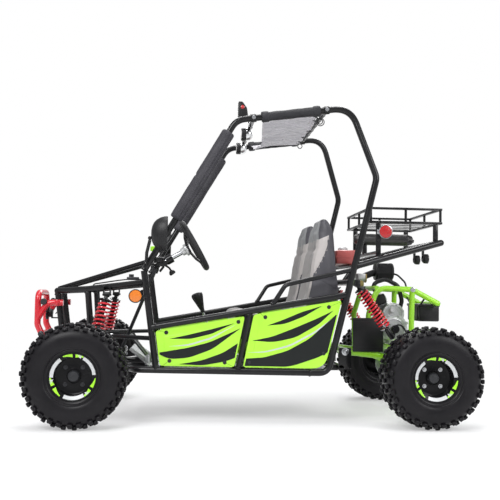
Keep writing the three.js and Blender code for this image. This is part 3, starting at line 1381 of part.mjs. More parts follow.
function beacon() {
  const half = beaconLength / 2;
  const x = beaconFrontX + half;
  const barZ = roofRailAt(left, roofBarFrontX).z;
  const low = beaconLowZ;
  const plate = blockBetween(at(beaconFrontX, beaconY - beaconWidth / 2, low - beaconPlate),
    at(roofBarFrontX + roofBarRadius, beaconY + beaconWidth / 2, low));
  const post = blockBetween(at(roofBarFrontX - roofBarRadius, beaconY - beaconPlate, barZ),
    at(roofBarFrontX + roofBarRadius, beaconY + beaconPlate, low));
  const wedge = new THREE.Shape();
  wedge.moveTo(x - half, low);
  wedge.lineTo(x + half, low);
  wedge.lineTo(x + half * 0.7, low + beaconHeight * 0.6);
  wedge.lineTo(x - half * 0.2, low + beaconHeight);
  wedge.lineTo(x - half, low + beaconHeight);
  const lens = new THREE.ExtrudeGeometry(wedge, { depth: beaconWidth, bevelEnabled: false });
  lens.rotateX(Math.PI / 2).translate(0, beaconY + beaconWidth / 2, 0);
  return [plate, post, lens];
}
add('roof_bar_front', join(roofBar(roofBarFrontX), lampAssembly(left), lampAssembly(right), beacon()), blackPaint());
add('roof_bar_rear', roofBar(roofBarRearX), blackPaint());

// A closed sheet between an upper and a lower surface, both given by a function of two shares
function closedSheet(upper, lower, countU, countV) {
  const positions = [];
  const index = [];
  const row = countV + 1;
  const size = (countU + 1) * row;
  for (const surface of [upper, lower]) {
    for (let i = 0; i <= countU; i++) {
      for (let k = 0; k <= countV; k++) positions.push(...surface(i / countU, k / countV).toArray());
    }
  }
  const quad = (a, b, c, d) => index.push(a, b, c, a, c, d);
  for (let i = 0; i < countU; i++) {
    for (let k = 0; k < countV; k++) {
      const a = i * row + k;
      quad(a, a + row, a + row + 1, a + 1);
      quad(size + a, size + a + 1, size + a + row + 1, size + a + row);
    }
  }
  for (let i = 0; i < countU; i++) {
    const near = i * row;
    const far = i * row + countV;
    quad(near, size + near, size + near + row, near + row);
    quad(far, far + row, size + far + row, size + far);
  }
  for (let k = 0; k < countV; k++) {
    const start = k;
    const end = countU * row + k;
    quad(start, start + 1, size + start + 1, size + start);
    quad(end, size + end, size + end + 1, end + 1);
  }
  const geometry = new THREE.BufferGeometry();
  geometry.setAttribute('position', new THREE.Float32BufferAttribute(positions, 3));
  geometry.setIndex(index);
  return geometry;
}

// Roof cloth: a section with lengthwise folds and a sleeve at each end, drawn along the rails
function clothSection() {
  const middle = (clothFrontX + clothRearX) / 2;
  const rail = roofRailAt(right, middle);
  const reach = rail.y - sleeveRadius * Math.cos(Math.PI / tubeSides);
  const height = (share) => {
    const hang = 4 * share * (1 - share);
    return -clothSag * hang + clothFoldDepth * Math.sin(share * Math.PI * clothFolds) * Math.sqrt(hang);
  };
  const points = [];
  const sleeve = (side, from) => {
    for (let i = 0; i < tubeSides; i++) {
      const angle = from + ((i + 0.5) / tubeSides) * Math.PI * 2;
      points.push([side * rail.y + sleeveRadius * Math.cos(angle), sleeveRadius * Math.sin(angle)]);
    }
  };
  const sheet = (rise, reversed) => {
    for (let i = 1; i < clothColumns; i++) {
      const share = reversed ? 1 - i / clothColumns : i / clothColumns;
      points.push([(2 * share - 1) * reach, height(share) + rise]);
    }
  };
  sleeve(right, -Math.PI);
  sheet(clothThickness / 2, true);
  sleeve(left, 0);
  sheet(-clothThickness / 2, false);
  const shape = new THREE.Shape(points.map(([y, z]) => new THREE.Vector2(y, z)));
  for (const side of [left, right]) {
    const bore = roundShape(boreRadius(tubeRadius, touchGap, tubeSides), tubeSides).getPoints();
    shape.holes.push(new THREE.Path(bore.map((point) => new THREE.Vector2(point.x + side * rail.y, point.y))));
  }
  return shape;
}

function roofCloth() {
  const section = clothSection();
  const length = clothRearX - clothFrontX;
  const cloth = new THREE.ExtrudeGeometry(section, { depth: length, steps: clothSteps, bevelEnabled: false });
  const points = cloth.getAttribute('position');
  const width = roofRailAt(right, (clothFrontX + clothRearX) / 2).y;
  for (let i = 0; i < points.count; i++) {
    const share = points.getZ(i) / length;
    const x = clothFrontX + share * length;
    const rail = roofRailAt(right, x);
    const inside = Math.abs(points.getX(i)) < width - sleeveRadius;
    const y = inside ? (points.getX(i) * rail.y) / width : points.getX(i) + Math.sign(points.getX(i)) * (rail.y - width);
    const lift = inside ? 1 - 0.2 * Math.sin(share * Math.PI) : 1;
    points.setXYZ(i, x, y, rail.z + points.getY(i) * lift);
  }
  return cloth;
}
add('roof_cloth', roofCloth(), paleCloth());

// Foam pads round the front pillars, with a groove between their two lengths
for (const side of [left, right]) {
  const low = frontPillarAt(side, padLowZ);
  const high = frontPillarAt(side, padHighZ);
  const length = low.distanceTo(high);
  const notch = low.distanceTo(frontPillarAt(side, padNotchZ));
  const waist = padRadius - padNotchDepth;
  const bore = boreRadius(tubeRadius, touchGap, roundSides);
  const pad = turnedUp([
    [bore, 0], [padRadius, 0], [padRadius, notch - padNotchWidth / 2], [waist, notch - padNotchWidth / 2],
    [waist, notch + padNotchWidth / 2], [padRadius, notch + padNotchWidth / 2], [padRadius, length], [bore, length],
  ], roundSides, true);
  const holder = new THREE.Group();
  holder.position.copy(low);
  holder.quaternion.setFromUnitVectors(at(0, 0, 1), high.clone().sub(low).normalize());
  add(`pillar_pad_${sideName(side)}`, pad, darkFoam(), holder);
  kart.add(holder);
}

// Mirrors: a domed shell with its ball, held by the stalk
for (const side of [left, right]) {
  const domeShares = [[0, 1], [0.5, 0.88], [0.85, 0.56], [1, 0.16], [1, 0], [0, 0]];
  const dome = turned(domeShares.map(([wide, deep]) => [wide * mirrorHalfHeight, deep * mirrorDepth]), roundSides);
  dome.rotateZ(Math.PI / 2).scale(1, mirrorHalfWidth / mirrorHalfHeight, 1);
  dome.translate(mirrorX, side * mirrorY, mirrorZ);
  const top = mirrorBall(side);
  const neck = rod(top, at(mirrorX - mirrorDepth / 2, top.y, top.z), mirrorStalkRadius);
  const joint = ball(at(0, 0, 0), mirrorBallRadius);
  joint.applyQuaternion(new THREE.Quaternion().setFromUnitVectors(at(0, 0, 1), stalkAim(side)));
  joint.translate(top.x, top.y, top.z);
  add(`mirror_${sideName(side)}`, join(dome, joint, neck), blackPlastic());
}

// Bucket seats: a crowned cushion with channels, side bolsters and a shell behind
function seat(side) {
  const centreLine = new THREE.CatmullRomCurve3([
    at(seatBaseFrontX, 0, seatBaseZ - seatCrown * 2), at(seatBaseFrontX + seatCrown, 0, seatBaseZ),
    at(seatTubeFrontX + seatCrown * 4, 0, (seatBaseZ + seatHollowZ) / 2), at(seatCrookX - seatBaseBolster, 0, seatHollowZ),
    at(seatCrookX, 0, seatCrookZ), at(seatMidX - seatBaseBolster / 3, 0, (seatCrookZ + seatMidZ) / 2),
    at(seatMidX, 0, seatMidZ), at((seatMidX + seatTopX) / 2, 0, (seatMidZ + seatTopZ) / 2),
    at(seatTopX, 0, seatTopZ),
  ]);
  const seatFloorZ = seatTubeZ + flatOf(slimTubeRadius, squareSides) + touchGap;
  const shellPoints = [
    at(seatBaseFrontX + seatCrown * 2, 0, seatFloorZ + seatCrown), at(seatBaseFrontX + seatCrown * 4, 0, seatFloorZ),
    at(seatTubeFrontX + seatCrown * 4, 0, seatFloorZ), at(seatCrookX - seatCrown, 0, seatFloorZ),
    at(seatRearX - seatCrown * 4, 0, (seatFloorZ + seatCrookZ) / 2), at(seatRearX, 0, (seatCrookZ * 2 + seatMidZ) / 3),
    at(seatRearX - seatCrown, 0, seatMidZ), at((seatRearX + seatTopX) / 2, 0, (seatMidZ + seatTopZ) / 2 + seatCrown * 2),
    at(seatTopX + seatTopThickness / 2, 0, seatTopZ - seatCrown),
  ];
  const shellLine = new THREE.CatmullRomCurve3(shellPoints);
  const y0 = side * seatCentreY;
  const halfAt = (share) => seatHalfWidth + (seatTopHalfWidth - seatHalfWidth) * Math.max(0, share - 0.62) / 0.38;
  const upper = (along, across) => {
    const point = centreLine.getPoint(along);
    const tangent = centreLine.getTangent(along);
    const normal = at(-tangent.z, 0, tangent.x);
    const wide = -Math.cos(across * Math.PI);
    const out = Math.abs(wide);
    const bolsterShare = THREE.MathUtils.smoothstep(out, 0.55, 0.86) - 0.55 * THREE.MathUtils.smoothstep(out, 0.88, 1);
    const height = along < 0.45 ? seatBaseBolster : seatBackBolster * THREE.MathUtils.smoothstep(1 - along, 0, 0.3);
    const crown = seatCrown * Math.cos(Math.min(out / 0.6, 1) * Math.PI / 2);
    const channel = out < 0.55 ? seatChannelDepth * Math.pow(Math.abs(Math.sin(along * Math.PI * 9)), 6) : 0;
    point.addScaledVector(normal, height * bolsterShare * Math.sin(Math.min(along / 0.2, 1) * Math.PI / 2)
      + crown - channel);
    point.y = y0 + wide * halfAt(along);
    return point;
  };
  const lower = (along, across) => {
    const point = shellLine.getPoint(along);
    point.z = Math.max(point.z, seatFloorZ);
    point.y = y0 - Math.cos(across * Math.PI) * halfAt(along) * 0.96;
    return point;
  };
  return closedSheet(upper, lower, seatRows, seatColumns);
}
add('seat_left', seat(left), seatCover());
add('seat_right', seat(right), seatCover());

export default kart;
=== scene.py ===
from math import acos, atan2, cos, exp, hypot, pi, radians, sin, tan, tau

import bmesh
import bpy
from mathutils import Matrix, Vector, noise


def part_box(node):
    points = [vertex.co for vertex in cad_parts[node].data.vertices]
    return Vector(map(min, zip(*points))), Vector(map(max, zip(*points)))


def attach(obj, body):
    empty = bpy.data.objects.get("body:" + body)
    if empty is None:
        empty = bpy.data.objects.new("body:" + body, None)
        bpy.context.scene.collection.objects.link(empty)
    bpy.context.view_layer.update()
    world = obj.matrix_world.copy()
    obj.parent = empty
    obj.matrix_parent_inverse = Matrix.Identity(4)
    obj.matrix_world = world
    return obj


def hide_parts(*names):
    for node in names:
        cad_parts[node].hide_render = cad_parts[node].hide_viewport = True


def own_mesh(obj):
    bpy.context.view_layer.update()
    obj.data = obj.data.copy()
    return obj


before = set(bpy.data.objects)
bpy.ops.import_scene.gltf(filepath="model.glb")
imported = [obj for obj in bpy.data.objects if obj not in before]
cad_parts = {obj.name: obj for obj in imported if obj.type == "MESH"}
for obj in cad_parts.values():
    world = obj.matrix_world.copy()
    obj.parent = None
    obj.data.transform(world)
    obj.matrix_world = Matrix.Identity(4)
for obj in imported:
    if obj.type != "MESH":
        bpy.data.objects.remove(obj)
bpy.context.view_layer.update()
scene = bpy.context.scene
scene.view_settings.view_transform = "Standard"

# Studio: a pale floor under plain soft lamps, with the camera at the photograph's place,
# low beside the driver's side and a little behind the front wheels
bench = bmesh.new()


def put(tree, kind, links=(), **settings):
    node = tree.nodes.new(kind if kind.startswith("NodeGroup") else "ShaderNode" + kind)
    for key, value in settings.items():
        setattr(node, key, value)
    for socket, value in dict(links).items():
        if isinstance(value, bpy.types.Node):
            value = value.outputs[0]
        if isinstance(value, bpy.types.NodeSocket):
            tree.links.new(value, node.inputs[socket])
        else:
            node.inputs[socket].default_value = value
    return node


def maths(tree, operation, a, b):
    return put(tree, "Math", {0: a, 1: b}, operation=operation)


def new_paint(name):
    paint = bpy.data.materials.new(name)
    paint.use_nodes = True
    paint.node_tree.nodes.clear()
    return paint, paint.node_tree


def keep(obj):
    scene.collection.objects.link(obj)
    return obj


def off_bench(name):
    mesh = bpy.data.meshes.new(name)
    bench.to_mesh(mesh)
    bench.clear()
    return keep(bpy.data.objects.new(name, mesh))


LOOK_SIDE, LOOK_UP, TILT = (radians(angle) for angle in (4.87, 3.21, 0.94))
camera = keep(bpy.data.objects.new("camera", bpy.data.cameras.new("camera")))
camera.data.lens, camera.data.sensor_width = 54.07, 36
camera.data.clip_end = 100
camera.matrix_world = (Matrix.Translation((-0.329, -4.034, 0.634)) @ Matrix.Rotation(-LOOK_SIDE, 4, "Z")
                       @ Matrix.Rotation(pi / 2 + LOOK_UP, 4, "X") @ Matrix.Rotation(TILT, 4, "Z"))
scene.camera = camera

bmesh.ops.create_grid(bench, x_segments=1, y_segments=1, size=30)
studio_floor = off_bench("studio_floor")
floor_paint, tree = new_paint("studio floor")
matt_white = put(tree, "BsdfDiffuse", {"Color": (0.93, 0.93, 0.94, 1)})
white_glow = put(tree, "Emission", {"Color": (1, 1, 1, 1), "Strength": 1.0})
reach = put(tree, "VectorMath", {0: put(tree, "TexCoord").outputs["Object"]}, operation="LENGTH")
fade = put(tree, "MapRange", {0: reach.outputs["Value"], 1: 1.1, 2: 2.6, 3: 0.4, 4: 1.0})
ray = put(tree, "LightPath").outputs
shown = maths(tree, "MAXIMUM", ray["Is Camera Ray"], ray["Is Glossy Ray"])
seen = maths(tree, "MULTIPLY", shown, fade)
put(tree, "OutputMaterial", {"Surface": put(tree, "MixShader", {0: seen, 1: matt_white, 2: white_glow})})
studio_floor.data.materials.append(floor_paint)

world = scene.world or bpy.data.worlds.new("studio")
scene.world = world
world.use_nodes = True
tree = world.node_tree
tree.nodes.clear()
ray = put(tree, "LightPath").outputs
plain = maths(tree, "MAXIMUM", ray["Is Camera Ray"], ray["Is Transmission Ray"])
room = put(tree, "Background", {"Color": (0.97, 0.98, 1, 1), "Strength": 0.5})
white = put(tree, "Background", {"Color": (1, 1, 1, 1), "Strength": 1.0})
put(tree, "OutputWorld", {"Surface": put(tree, "MixShader", {0: plain, 1: room, 2: white})})

for name, place, size, power in (("key", (-2.6, -4.2, 4.2), 2.4, 190), ("fill", (3.6, -3.2, 3.0), 2.4, 100),
                                 ("back", (0.6, 4.2, 3.8), 3.0, 150), ("top", (0.0, -0.3, 5.0), 2.6, 110)):
    lamp = keep(bpy.data.objects.new(f"lamp_{name}", bpy.data.lights.new(f"lamp_{name}", "AREA")))
    lamp.data.energy, lamp.data.size = power, size
    turn = (Vector(place) - Vector((0, 0, 0.6))).to_track_quat("Z", "Y").to_matrix().to_4x4()
    lamp.matrix_world = Matrix.Translation(place) @ turn


# Central chassis: welded round steel tube of 32 and 22 mm under satin black powder coat, with square
# seat tubes, lugs for the arms and units, the rack housing and the swing arm's plates, all in millimetres
def node_group(name, inputs, outputs):
    tree = bpy.data.node_groups.new(name, "ShaderNodeTree")
    for label, value in inputs.items():
        kind = "NodeSocketColor" if isinstance(value, tuple) else "NodeSocketFloat"
        tree.interface.new_socket(label, in_out="INPUT", socket_type=kind).default_value = value
    for label, kind in outputs.items():
        tree.interface.new_socket(label, in_out="OUTPUT", socket_type="NodeSocket" + kind)
    return tree, put(tree, "NodeGroupInput").outputs, put(tree, "TexCoord").outputs["Object"]


def blend(tree, share, colour, other, **settings):
    return put(tree, "Mix", {0: share, 6: colour, 7: other}, data_type="RGBA", **settings).outputs[2]


surface_group, given, spot = node_group(
    "mottled grain",
    {"Colour": (0.5, 0.5, 0.5, 1), "Shade": (0.4, 0.4, 0.4, 1), "Patch Scale": 6.0, "Low Roughness": 0.3,
     "High Roughness": 0.4, "Grain Scale": 400.0, "Grain Depth": 0.0001},
    {"Colour": "Color", "Roughness": "Float", "Normal": "Vector"})
patches = put(surface_group, "TexNoise", {"Vector": spot, "Scale": given["Patch Scale"], "Detail": 6.0,
                                          "Roughness": 0.65})
spread = put(surface_group, "MapRange", {0: patches, 1: 0.3, 2: 0.7})
tint = blend(surface_group, spread, given["Colour"], given["Shade"])
gloss = put(surface_group, "MapRange", {0: patches, 1: 0.3, 2: 0.7, 3: given["Low Roughness"],
                                        4: given["High Roughness"]})
grain = put(surface_group, "TexNoise", {"Vector": spot, "Scale": given["Grain Scale"], "Detail": 3.0})
relief = put(surface_group, "Bump", {"Height": grain, "Distance": given["Grain Depth"], "Strength": 1.0})
put(surface_group, "NodeGroupOutput", {"Colour": tint, "Roughness": gloss, "Normal": relief})

scuff_group, given, spot = node_group("scuffs", {"Scale": 60.0, "Amount": 0.5}, {"Mask": "Float"})
broad = put(scuff_group, "TexNoise", {"Vector": spot, "Scale": 9.0, "Detail": 4.0})
fine = put(scuff_group, "TexNoise", {"Vector": spot, "Scale": given["Scale"], "Detail": 8.0, "Roughness": 0.8,
                                     "Distortion": 1.5})
edge = put(scuff_group, "MapRange", {0: maths(scuff_group, "MULTIPLY", broad, fine), 1: 0.36, 2: 0.42})
put(scuff_group, "NodeGroupOutput", {"Mask": maths(scuff_group, "MULTIPLY", edge, given["Amount"])})


def mottled(tree, colour, shade, patch, low, high, grain, depth):
    return put(tree, "Group", {"Colour": (*colour, 1), "Shade": (*shade, 1), "Patch Scale": patch,
                               "Low Roughness": low, "High Roughness": high, "Grain Scale": grain,
                               "Grain Depth": depth / 1000}, node_tree=surface_group).outputs


def finish(name, colour, shade, low, high, depth=0.1, grain=400, patch=6, metal=0, coat=0, specular=0.5, scuffs=None):
    paint, tree = new_paint(name)
    base = mottled(tree, colour, shade, patch, low, high, grain, depth)
    tint = base["Colour"]
    if scuffs:
        mask = put(tree, "Group", {"Amount": scuffs[0]}, node_tree=scuff_group)
        tint = blend(tree, mask, tint, (*scuffs[1:], 1))
    put(tree, "OutputMaterial", {"Surface": put(tree, "BsdfPrincipled", {
        "Base Color": tint, "Roughness": base["Roughness"], "Normal": base["Normal"], "Metallic": metal,
        "Coat Weight": coat, "Coat Roughness": 0.15, "Specular IOR Level": specular})})
    return paint


black_coat = finish("satin black powder coat", (0.008, 0.008, 0.009), (0.014, 0.014, 0.015), 0.13, 0.24, 0.06, 260,
                    specular=0.3, scuffs=(0.2, 0.05, 0.05, 0.054))


def bent(corners, bends, steps=7):
    corners = [Vector(corner) for corner in corners]
    points = [corners[0]]
    for i, corner in enumerate(corners[1:-1], 1):
        bend = bends[i - 1] if isinstance(bends, tuple) else bends
        back, onward = corners[i - 1] - corner, corners[i + 1] - corner
        reach = min(bend * tan((pi - back.angle(onward)) / 2), back.length / 2, onward.length / 2)
        points += eased(corner + back.normalized() * reach, corner, corner + onward.normalized() * reach, steps)
    return points + [corners[-1]]


def eased(start, corner, end, steps):
    return [start * (1 - k / steps) ** 2 + corner * (2 * k / steps * (1 - k / steps)) + end * (k / steps) ** 2
            for k in range(steps + 1)]


BACK, OUT, DRIVER, UP = (Vector(way) for way in ((1, 0, 0), (0, 1, 0), (0, -1, 0), (0, 0, 1)))


def facing(place, direction):
    return Matrix.Translation(place) @ Vector(direction).to_track_quat("Z", "Y").to_matrix().to_4x4()


def only(kind, items):
    return [item for item in items if isinstance(item, kind)]


def edges_of(verts):
    return list(dict.fromkeys(edge for vert in verts for edge in vert.link_edges))


def sweep(points, radius, sides=14):
    points = [Vector(point) for point in points]
    heading = (points[1] - points[0]).normalized()
    ring = bmesh.ops.create_circle(bench, segments=sides, radius=radius, cap_ends=True,
                                   matrix=facing(points[0], heading))["verts"]
    edges = edges_of(ring)
    for i in range(1, len(points)):
        leaving = (points[min(i + 1, len(points) - 1)] - points[i - 1]).normalized()
        made = bmesh.ops.extrude_edge_only(bench, edges=edges)["geom"]
        edges = only(bmesh.types.BMEdge, made)
        turn = heading.rotation_difference(leaving).to_matrix().to_4x4()
        step = Matrix.Translation(points[i]) @ turn @ Matrix.Translation(-points[i - 1])
        bmesh.ops.transform(bench, matrix=step, verts=only(bmesh.types.BMVert, made))
        heading = leaving
    bmesh.ops.contextual_create(bench, geom=edges)


def tube(corners, radius, bends=0, sides=14, steps=7):
    sweep(bent(corners, bends, steps) if len(corners) > 2 else corners, radius, sides)


def across(x, z, half, radius, sides=14):
    tube([(x, -half, z), (x, half, z)], radius, sides=sides)


def bar(low, high, soft=1.5, turn=None):
    low, high = Vector(low), Vector(high)
    place = Matrix.Translation((low + high) / 2) @ (turn or Matrix()) @ Matrix.Diagonal((*(high - low), 1))
    made = bmesh.ops.create_cube(bench, size=1, matrix=place)["verts"]
    bmesh.ops.bevel(bench, geom=edges_of(made), offset=soft, segments=2, profile=0.5, affect="EDGES", material=-1,
                    clamp_overlap=True)


def block(middle, half, soft=1.5, turn=None):
    bar(Vector(middle) - Vector(half), Vector(middle) + Vector(half), soft, turn)


def ears(low, high, gap, axis=0, soft=1.5):
    for end in (-1, 1):
        shift = Vector([end * gap if i == axis else 0 for i in range(3)])
        thick = Vector([3 if i == axis else 0 for i in range(3)])
        bar(Vector(low) + shift - thick, Vector(high) + shift + thick, soft)


def lathe(profile, place, way=None, steps=36):
    turned = bmesh.new()
    chain = [turned.verts.new((radius, 0, height)) for radius, height in profile]
    edges = [turned.edges.new(pair) for pair in zip(chain, chain[1:])]
    bmesh.ops.spin(turned, geom=chain + edges, cent=(0, 0, 0), axis=UP, angle=tau, steps=steps,
                   use_merge=True, use_duplicate=False)
    bmesh.ops.remove_doubles(turned, verts=turned.verts, dist=0.001)
    bmesh.ops.holes_fill(turned, edges=[edge for edge in turned.edges if edge.is_boundary], sides=0)
    bmesh.ops.transform(turned, matrix=facing(place, way) if way else place, verts=turned.verts)
    shape = bpy.data.meshes.new("turned")
    turned.to_mesh(shape)
    turned.free()
    bench.from_mesh(shape)
    bpy.data.meshes.remove(shape)


def weld(place, direction, radius):
    lathe([(radius, -5), (radius + 3.5, -1), (radius + 2.6, 3), (radius, 5), (radius, -5)], place, direction, 18)


def doubled():
    made = bmesh.ops.duplicate(bench, geom=bench.verts[:] + bench.edges[:] + bench.faces[:])["geom"]
    bmesh.ops.scale(bench, vec=(1, -1, 1), verts=only(bmesh.types.BMVert, made))


def piece(name, material, body="frame", node=None, sharp=34, side=1):
    bmesh.ops.scale(bench, vec=(0.001, 0.001 * side, 0.001), verts=bench.verts)
    bmesh.ops.remove_doubles(bench, verts=bench.verts, dist=1e-5)
    bmesh.ops.recalc_face_normals(bench, faces=bench.faces)
    for face in bench.faces:
        face.smooth = True
    obj = off_bench(name)
    obj.data.set_sharp_from_angle(angle=radians(sharp))
    for part in material if isinstance(material, list) else [material]:
        obj.data.materials.append(part)
    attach(obj, body)
    if node:
        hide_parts(node)
    return obj


TUBE, SLIM, RAIL_Z = 16, 11, 251
SIDES = (("left", -1), ("right", 1))
ARM_PINS, ARM_Y, ARM_Z = (-916, -732), 190, 262
DASH = Vector((-496.2, 200, 790))
COLUMN_WAY = Vector((0.8656, 0, 0.5008))
CROSS_TUBES = ((-462, 336), (-69, 376), (300, 413), (-650, 150), (-930, 150))
tube([(494, 150, RAIL_Z), (-945, 150, RAIL_Z)], TUBE)
tube([(-930, 95, RAIL_Z), (-982, 95, 625)], TUBE)
tube([(-785, 150, RAIL_Z), (-818, 188, 636)], TUBE)
tube([(-982, 95, 625), (-818, 188, 636), (-530, 342, 671.2)], TUBE, 40)
tube([(-982, 62, 637), DASH], SLIM)
tube([(-491, 346, 403), (-798, 165, 403)], SLIM)
for x in (5, 235):
    bar((x - 7.8, 142.2, RAIL_Z), (x + 7.8, 157.8, 384))
for x in ARM_PINS:
    ears((x, 150, 248), (x, 204, 276), 23.3)
    tube([(x - 31, ARM_Y, ARM_Z), (x + 31, ARM_Y, ARM_Z)], 6, sides=6)
ears((-715, 235, 603.5), (-715, 275, 652), 15.9)
tube([(-737, 262, 610), (-693, 262, 610)], 5, sides=6)
bar((466, 196.3, RAIL_Z), (530, 202.3, 356))
bar((-659.5, 82.5, RAIL_Z), (-640.5, 101.5, 311))
doubled()
for side in (-1, 1):
    for x, y, z, lean in ((-940, 95, 270, 0), (-786, 152, 270, 0.1), (-818, 186, 618, 0.1), (-980, 95, 606, 0)):
        weld((x, side * y, z), (0, lean, 1), TUBE - 1)
    for x, half in CROSS_TUBES:
        weld((x, side * min(half - 20, 170), RAIL_Z), OUT, TUBE - 1)
for x in (5, 235):
    bar((x - 7.8, -318, 376.2), (x + 7.8, 318, 391.8))
for x, z, half, radius in ((-982, 625, 103, TUBE), (DASH.x, DASH.z, 333, TUBE), (478, RAIL_Z, 202.3, TUBE),
                           (498, 336, 206, SLIM), *((x, RAIL_Z, half, TUBE) for x, half in CROSS_TUBES)):
    across(x, z, half, radius)
tube([(DASH.x, -DASH.y, DASH.z), (-411.8, -200, 794.4)], SLIM)
lathe([(12.3, -17), (22.5, -17), (24, -15.5), (24, 15.5), (22.5, 17), (12.3, 17), (12.3, -17)],
      (-411.8, -200, 794.4), COLUMN_WAY, 28)
tube([(-650, -115, 311), (-650, -10.5, 311)], 19)
tube([(-650, -10.5, 311), (-650, 115, 311)], 17.8)
bar((-669, -81, 311), (-631, -43, 338.5), 3)
piece("chassis_tubes", black_coat, "frame", "chassis_frame")


# Side frames: the rail, sill, posts and arm rest of each side, with tabs for the panels,
# mig welded from the same powder coated tube
def splay(x):
    return 352 + (x + 462) * 0.10133


PANEL_BOLTS = {"front": ((-416, 432), (-69.4, 489), (-398, 296.3), (-132, 293)),
               "rear": ((60, 514), (365, 568), (342, 345), (-12, 295))}
TAB_ENDS = {"front": ((-480.5, 445.5), (-45, 528), (-449, 258), (-66, 262)),
            "rear": ((20, 542), (437, 600), (392, 350), (-50, 262))}
for name, side in SIDES:
    tube([(269.7, 426.1, RAIL_Z), (-560, 342.1, RAIL_Z), (-664, 150, RAIL_Z)], TUBE, 60)
    tube([(-462, 352, RAIL_Z), (-531, 345, 730)], TUBE)
    tube([(-491.5, 349, 456), (450, 444, 627.3)], TUBE)
    tube([(-13, 397.3, 543), (-69, 391.8, RAIL_Z)], 13)
    tube([(86, 407.4, 561.1), (155, 414.5, 672), (483.6, 447.4, 752)], SLIM, 45)
    for spot, direction in (((-488.5, 349, 440), (-0.14, 0, 1)), ((-470, 351, 459.9), (1, side * 0.1, 0.18)),
                            ((-66.5, 392, 268), (0.2, 0, 1)), ((-16.5, 397, 524), (0.2, 0, 1)),
                            ((-464.5, 352, 269), (-0.14, 0, 1))):
        weld(spot, direction, TUBE - 2)
    weld((96, 408.5, 577), (0.5, 0, 0.85), 10.5)
    for place, ends in TAB_ENDS.items():
        for (x, z), (end_x, end_z) in zip(PANEL_BOLTS[place], ends):
            sweep([(x, splay(x) - 4.5, z), (end_x, splay(end_x) - 4.5, end_z)], 7, 4)
    piece(f"side_frame_{name}_tubes", black_coat, "frame", f"side_frame_{name}", side=side)

# Cage hoops: one 32 mm steel tube for each side under black powder coat, cold bent from the dash
# over the roof and down behind the seats to the floor rail, welded at both ends
for name, side in SIDES:
    tube([(-531, 345, 730), (-95, 377, 1481), (472, 390, 1560), (591, 458, 1202), (364, 435.7, RAIL_Z),
          (270, 426.2, RAIL_Z)], TUBE, (90, 110, 80, 95), sides=18, steps=10)
    weld((-527, 345.3, 737), (0.5, 0, 0.86), TUBE)
    weld((276, 427, RAIL_Z), (1, side * 0.1, 0), TUBE)
    piece(f"cage_{name}_tube", black_coat, "frame", f"cage_{name}", side=side)

# Side panels: moulded lime plastic sheet with a shallow raised field, printed black slashes
# laid on as vinyl, four hex screws with washers each
lime_sheet = finish("lime moulded plastic", (0.43, 0.87, 0.045), (0.38, 0.8, 0.035), 0.28, 0.38, 0.05, 900,
                    coat=0.3, scuffs=(0.1, 0.3, 0.6, 0.06))
black_vinyl = finish("black printed vinyl", (0.006, 0.008, 0.008), (0.01, 0.012, 0.012), 0.26, 0.38, 0.03,
                     specular=0.3)
silver_vinyl = finish("silver printed vinyl", (0.55, 0.57, 0.58), (0.48, 0.5, 0.52), 0.3, 0.4, 0.03)
steel_black = finish("blackened screw steel", (0.035, 0.036, 0.04), (0.07, 0.07, 0.075), 0.3, 0.5, 0.08, 700,
                     metal=0.85)
bright = finish("bright zinc steel", (0.55, 0.56, 0.58), (0.42, 0.43, 0.45), 0.2, 0.36, 0.06, 600, metal=1)


def drawn_in(corners, gap):
    moved = []
    for i, here in enumerate(corners):
        back, onward = corners[i - 1] - here, corners[(i + 1) % len(corners)] - here
        reach = gap / sin(back.angle(onward) / 2)
        moved.append(here + (back.normalized() + onward.normalized()).normalized() * reach)
    return moved


def rounded(corners, reaches):
    points = []
    for i, corner in enumerate(corners):
        start = corner + (corners[i - 1] - corner).normalized() * reaches[i]
        end = corner + (corners[(i + 1) % len(corners)] - corner).normalized() * reaches[i]
        points += eased(start, corner, end, 6)
    return points


def raised(points, lift):
    made = [bench.faces.new([bench.verts.new(point) for point in points])] if points else bench.faces[:]
    made = bmesh.ops.extrude_face_region(bench, geom=made, use_keep_orig=True)["geom"]
    top = only(bmesh.types.BMVert, made)
    bmesh.ops.translate(bench, vec=lift, verts=top)
    return top


def softened(edges, offset, segments=2):
    bmesh.ops.bevel(bench, geom=edges, offset=offset, segments=segments, profile=0.5, affect="EDGES", material=-1)


def bolt(place, direction, radius=6, height=5):
    lathe([(0, 0), (radius * 1.7, 0), (radius * 1.75, 0.8), (radius * 1.6, 1.4), (0, 1.4)], place, direction, 20)
    lathe([(0, 1), (radius, 1), (radius, height), (radius * 0.86, height + 0.8), (0, height + 0.8)], place,
          direction, 6)


def follow_splay():
    for vert in bench.verts:
        vert.co.y += splay(vert.co.x)


OUTLINES = {"front": ((-444.7, 271), (-85.5, 271), (-38.1, 518.1), (-469, 439.8)),
            "rear": ((-44.8, 271), (348.2, 271), (427.4, 602.8), (4.1, 525.8))}
SLASHES = {"front": (((-460, 333, 0), (-400, 324, 20), (-310, 336, 24), (-200, 372, 18), (-60, 458, 0)),
                     ((-350, 281, 0), (-240, 289, 12), (-130, 320, 22), (-20, 380, 34)),
                     ((-400, 402, 0), (-300, 414, 11), (-200, 440, 11), (-90, 482, 0))),
           "rear": (((-70, 290, 20), (60, 295, 26), (180, 318, 38), (300, 372, 50), (440, 480, 66)),
                    ((0, 400, 0), (100, 408, 14), (200, 440, 22), (310, 497, 14), (385, 550, 0)),
                    ((70, 474, 0), (150, 493, 11), (240, 531, 12), (330, 572, 0)))}
STRIPES = {"front": ((-400, 366, 0), (-310, 373, 3.5), (-200, 408, 4), (-80, 476, 0)),
           "rear": ((-20, 343, 0), (60, 346, 3), (180, 379, 4), (300, 446, 4), (390, 520, 0))}


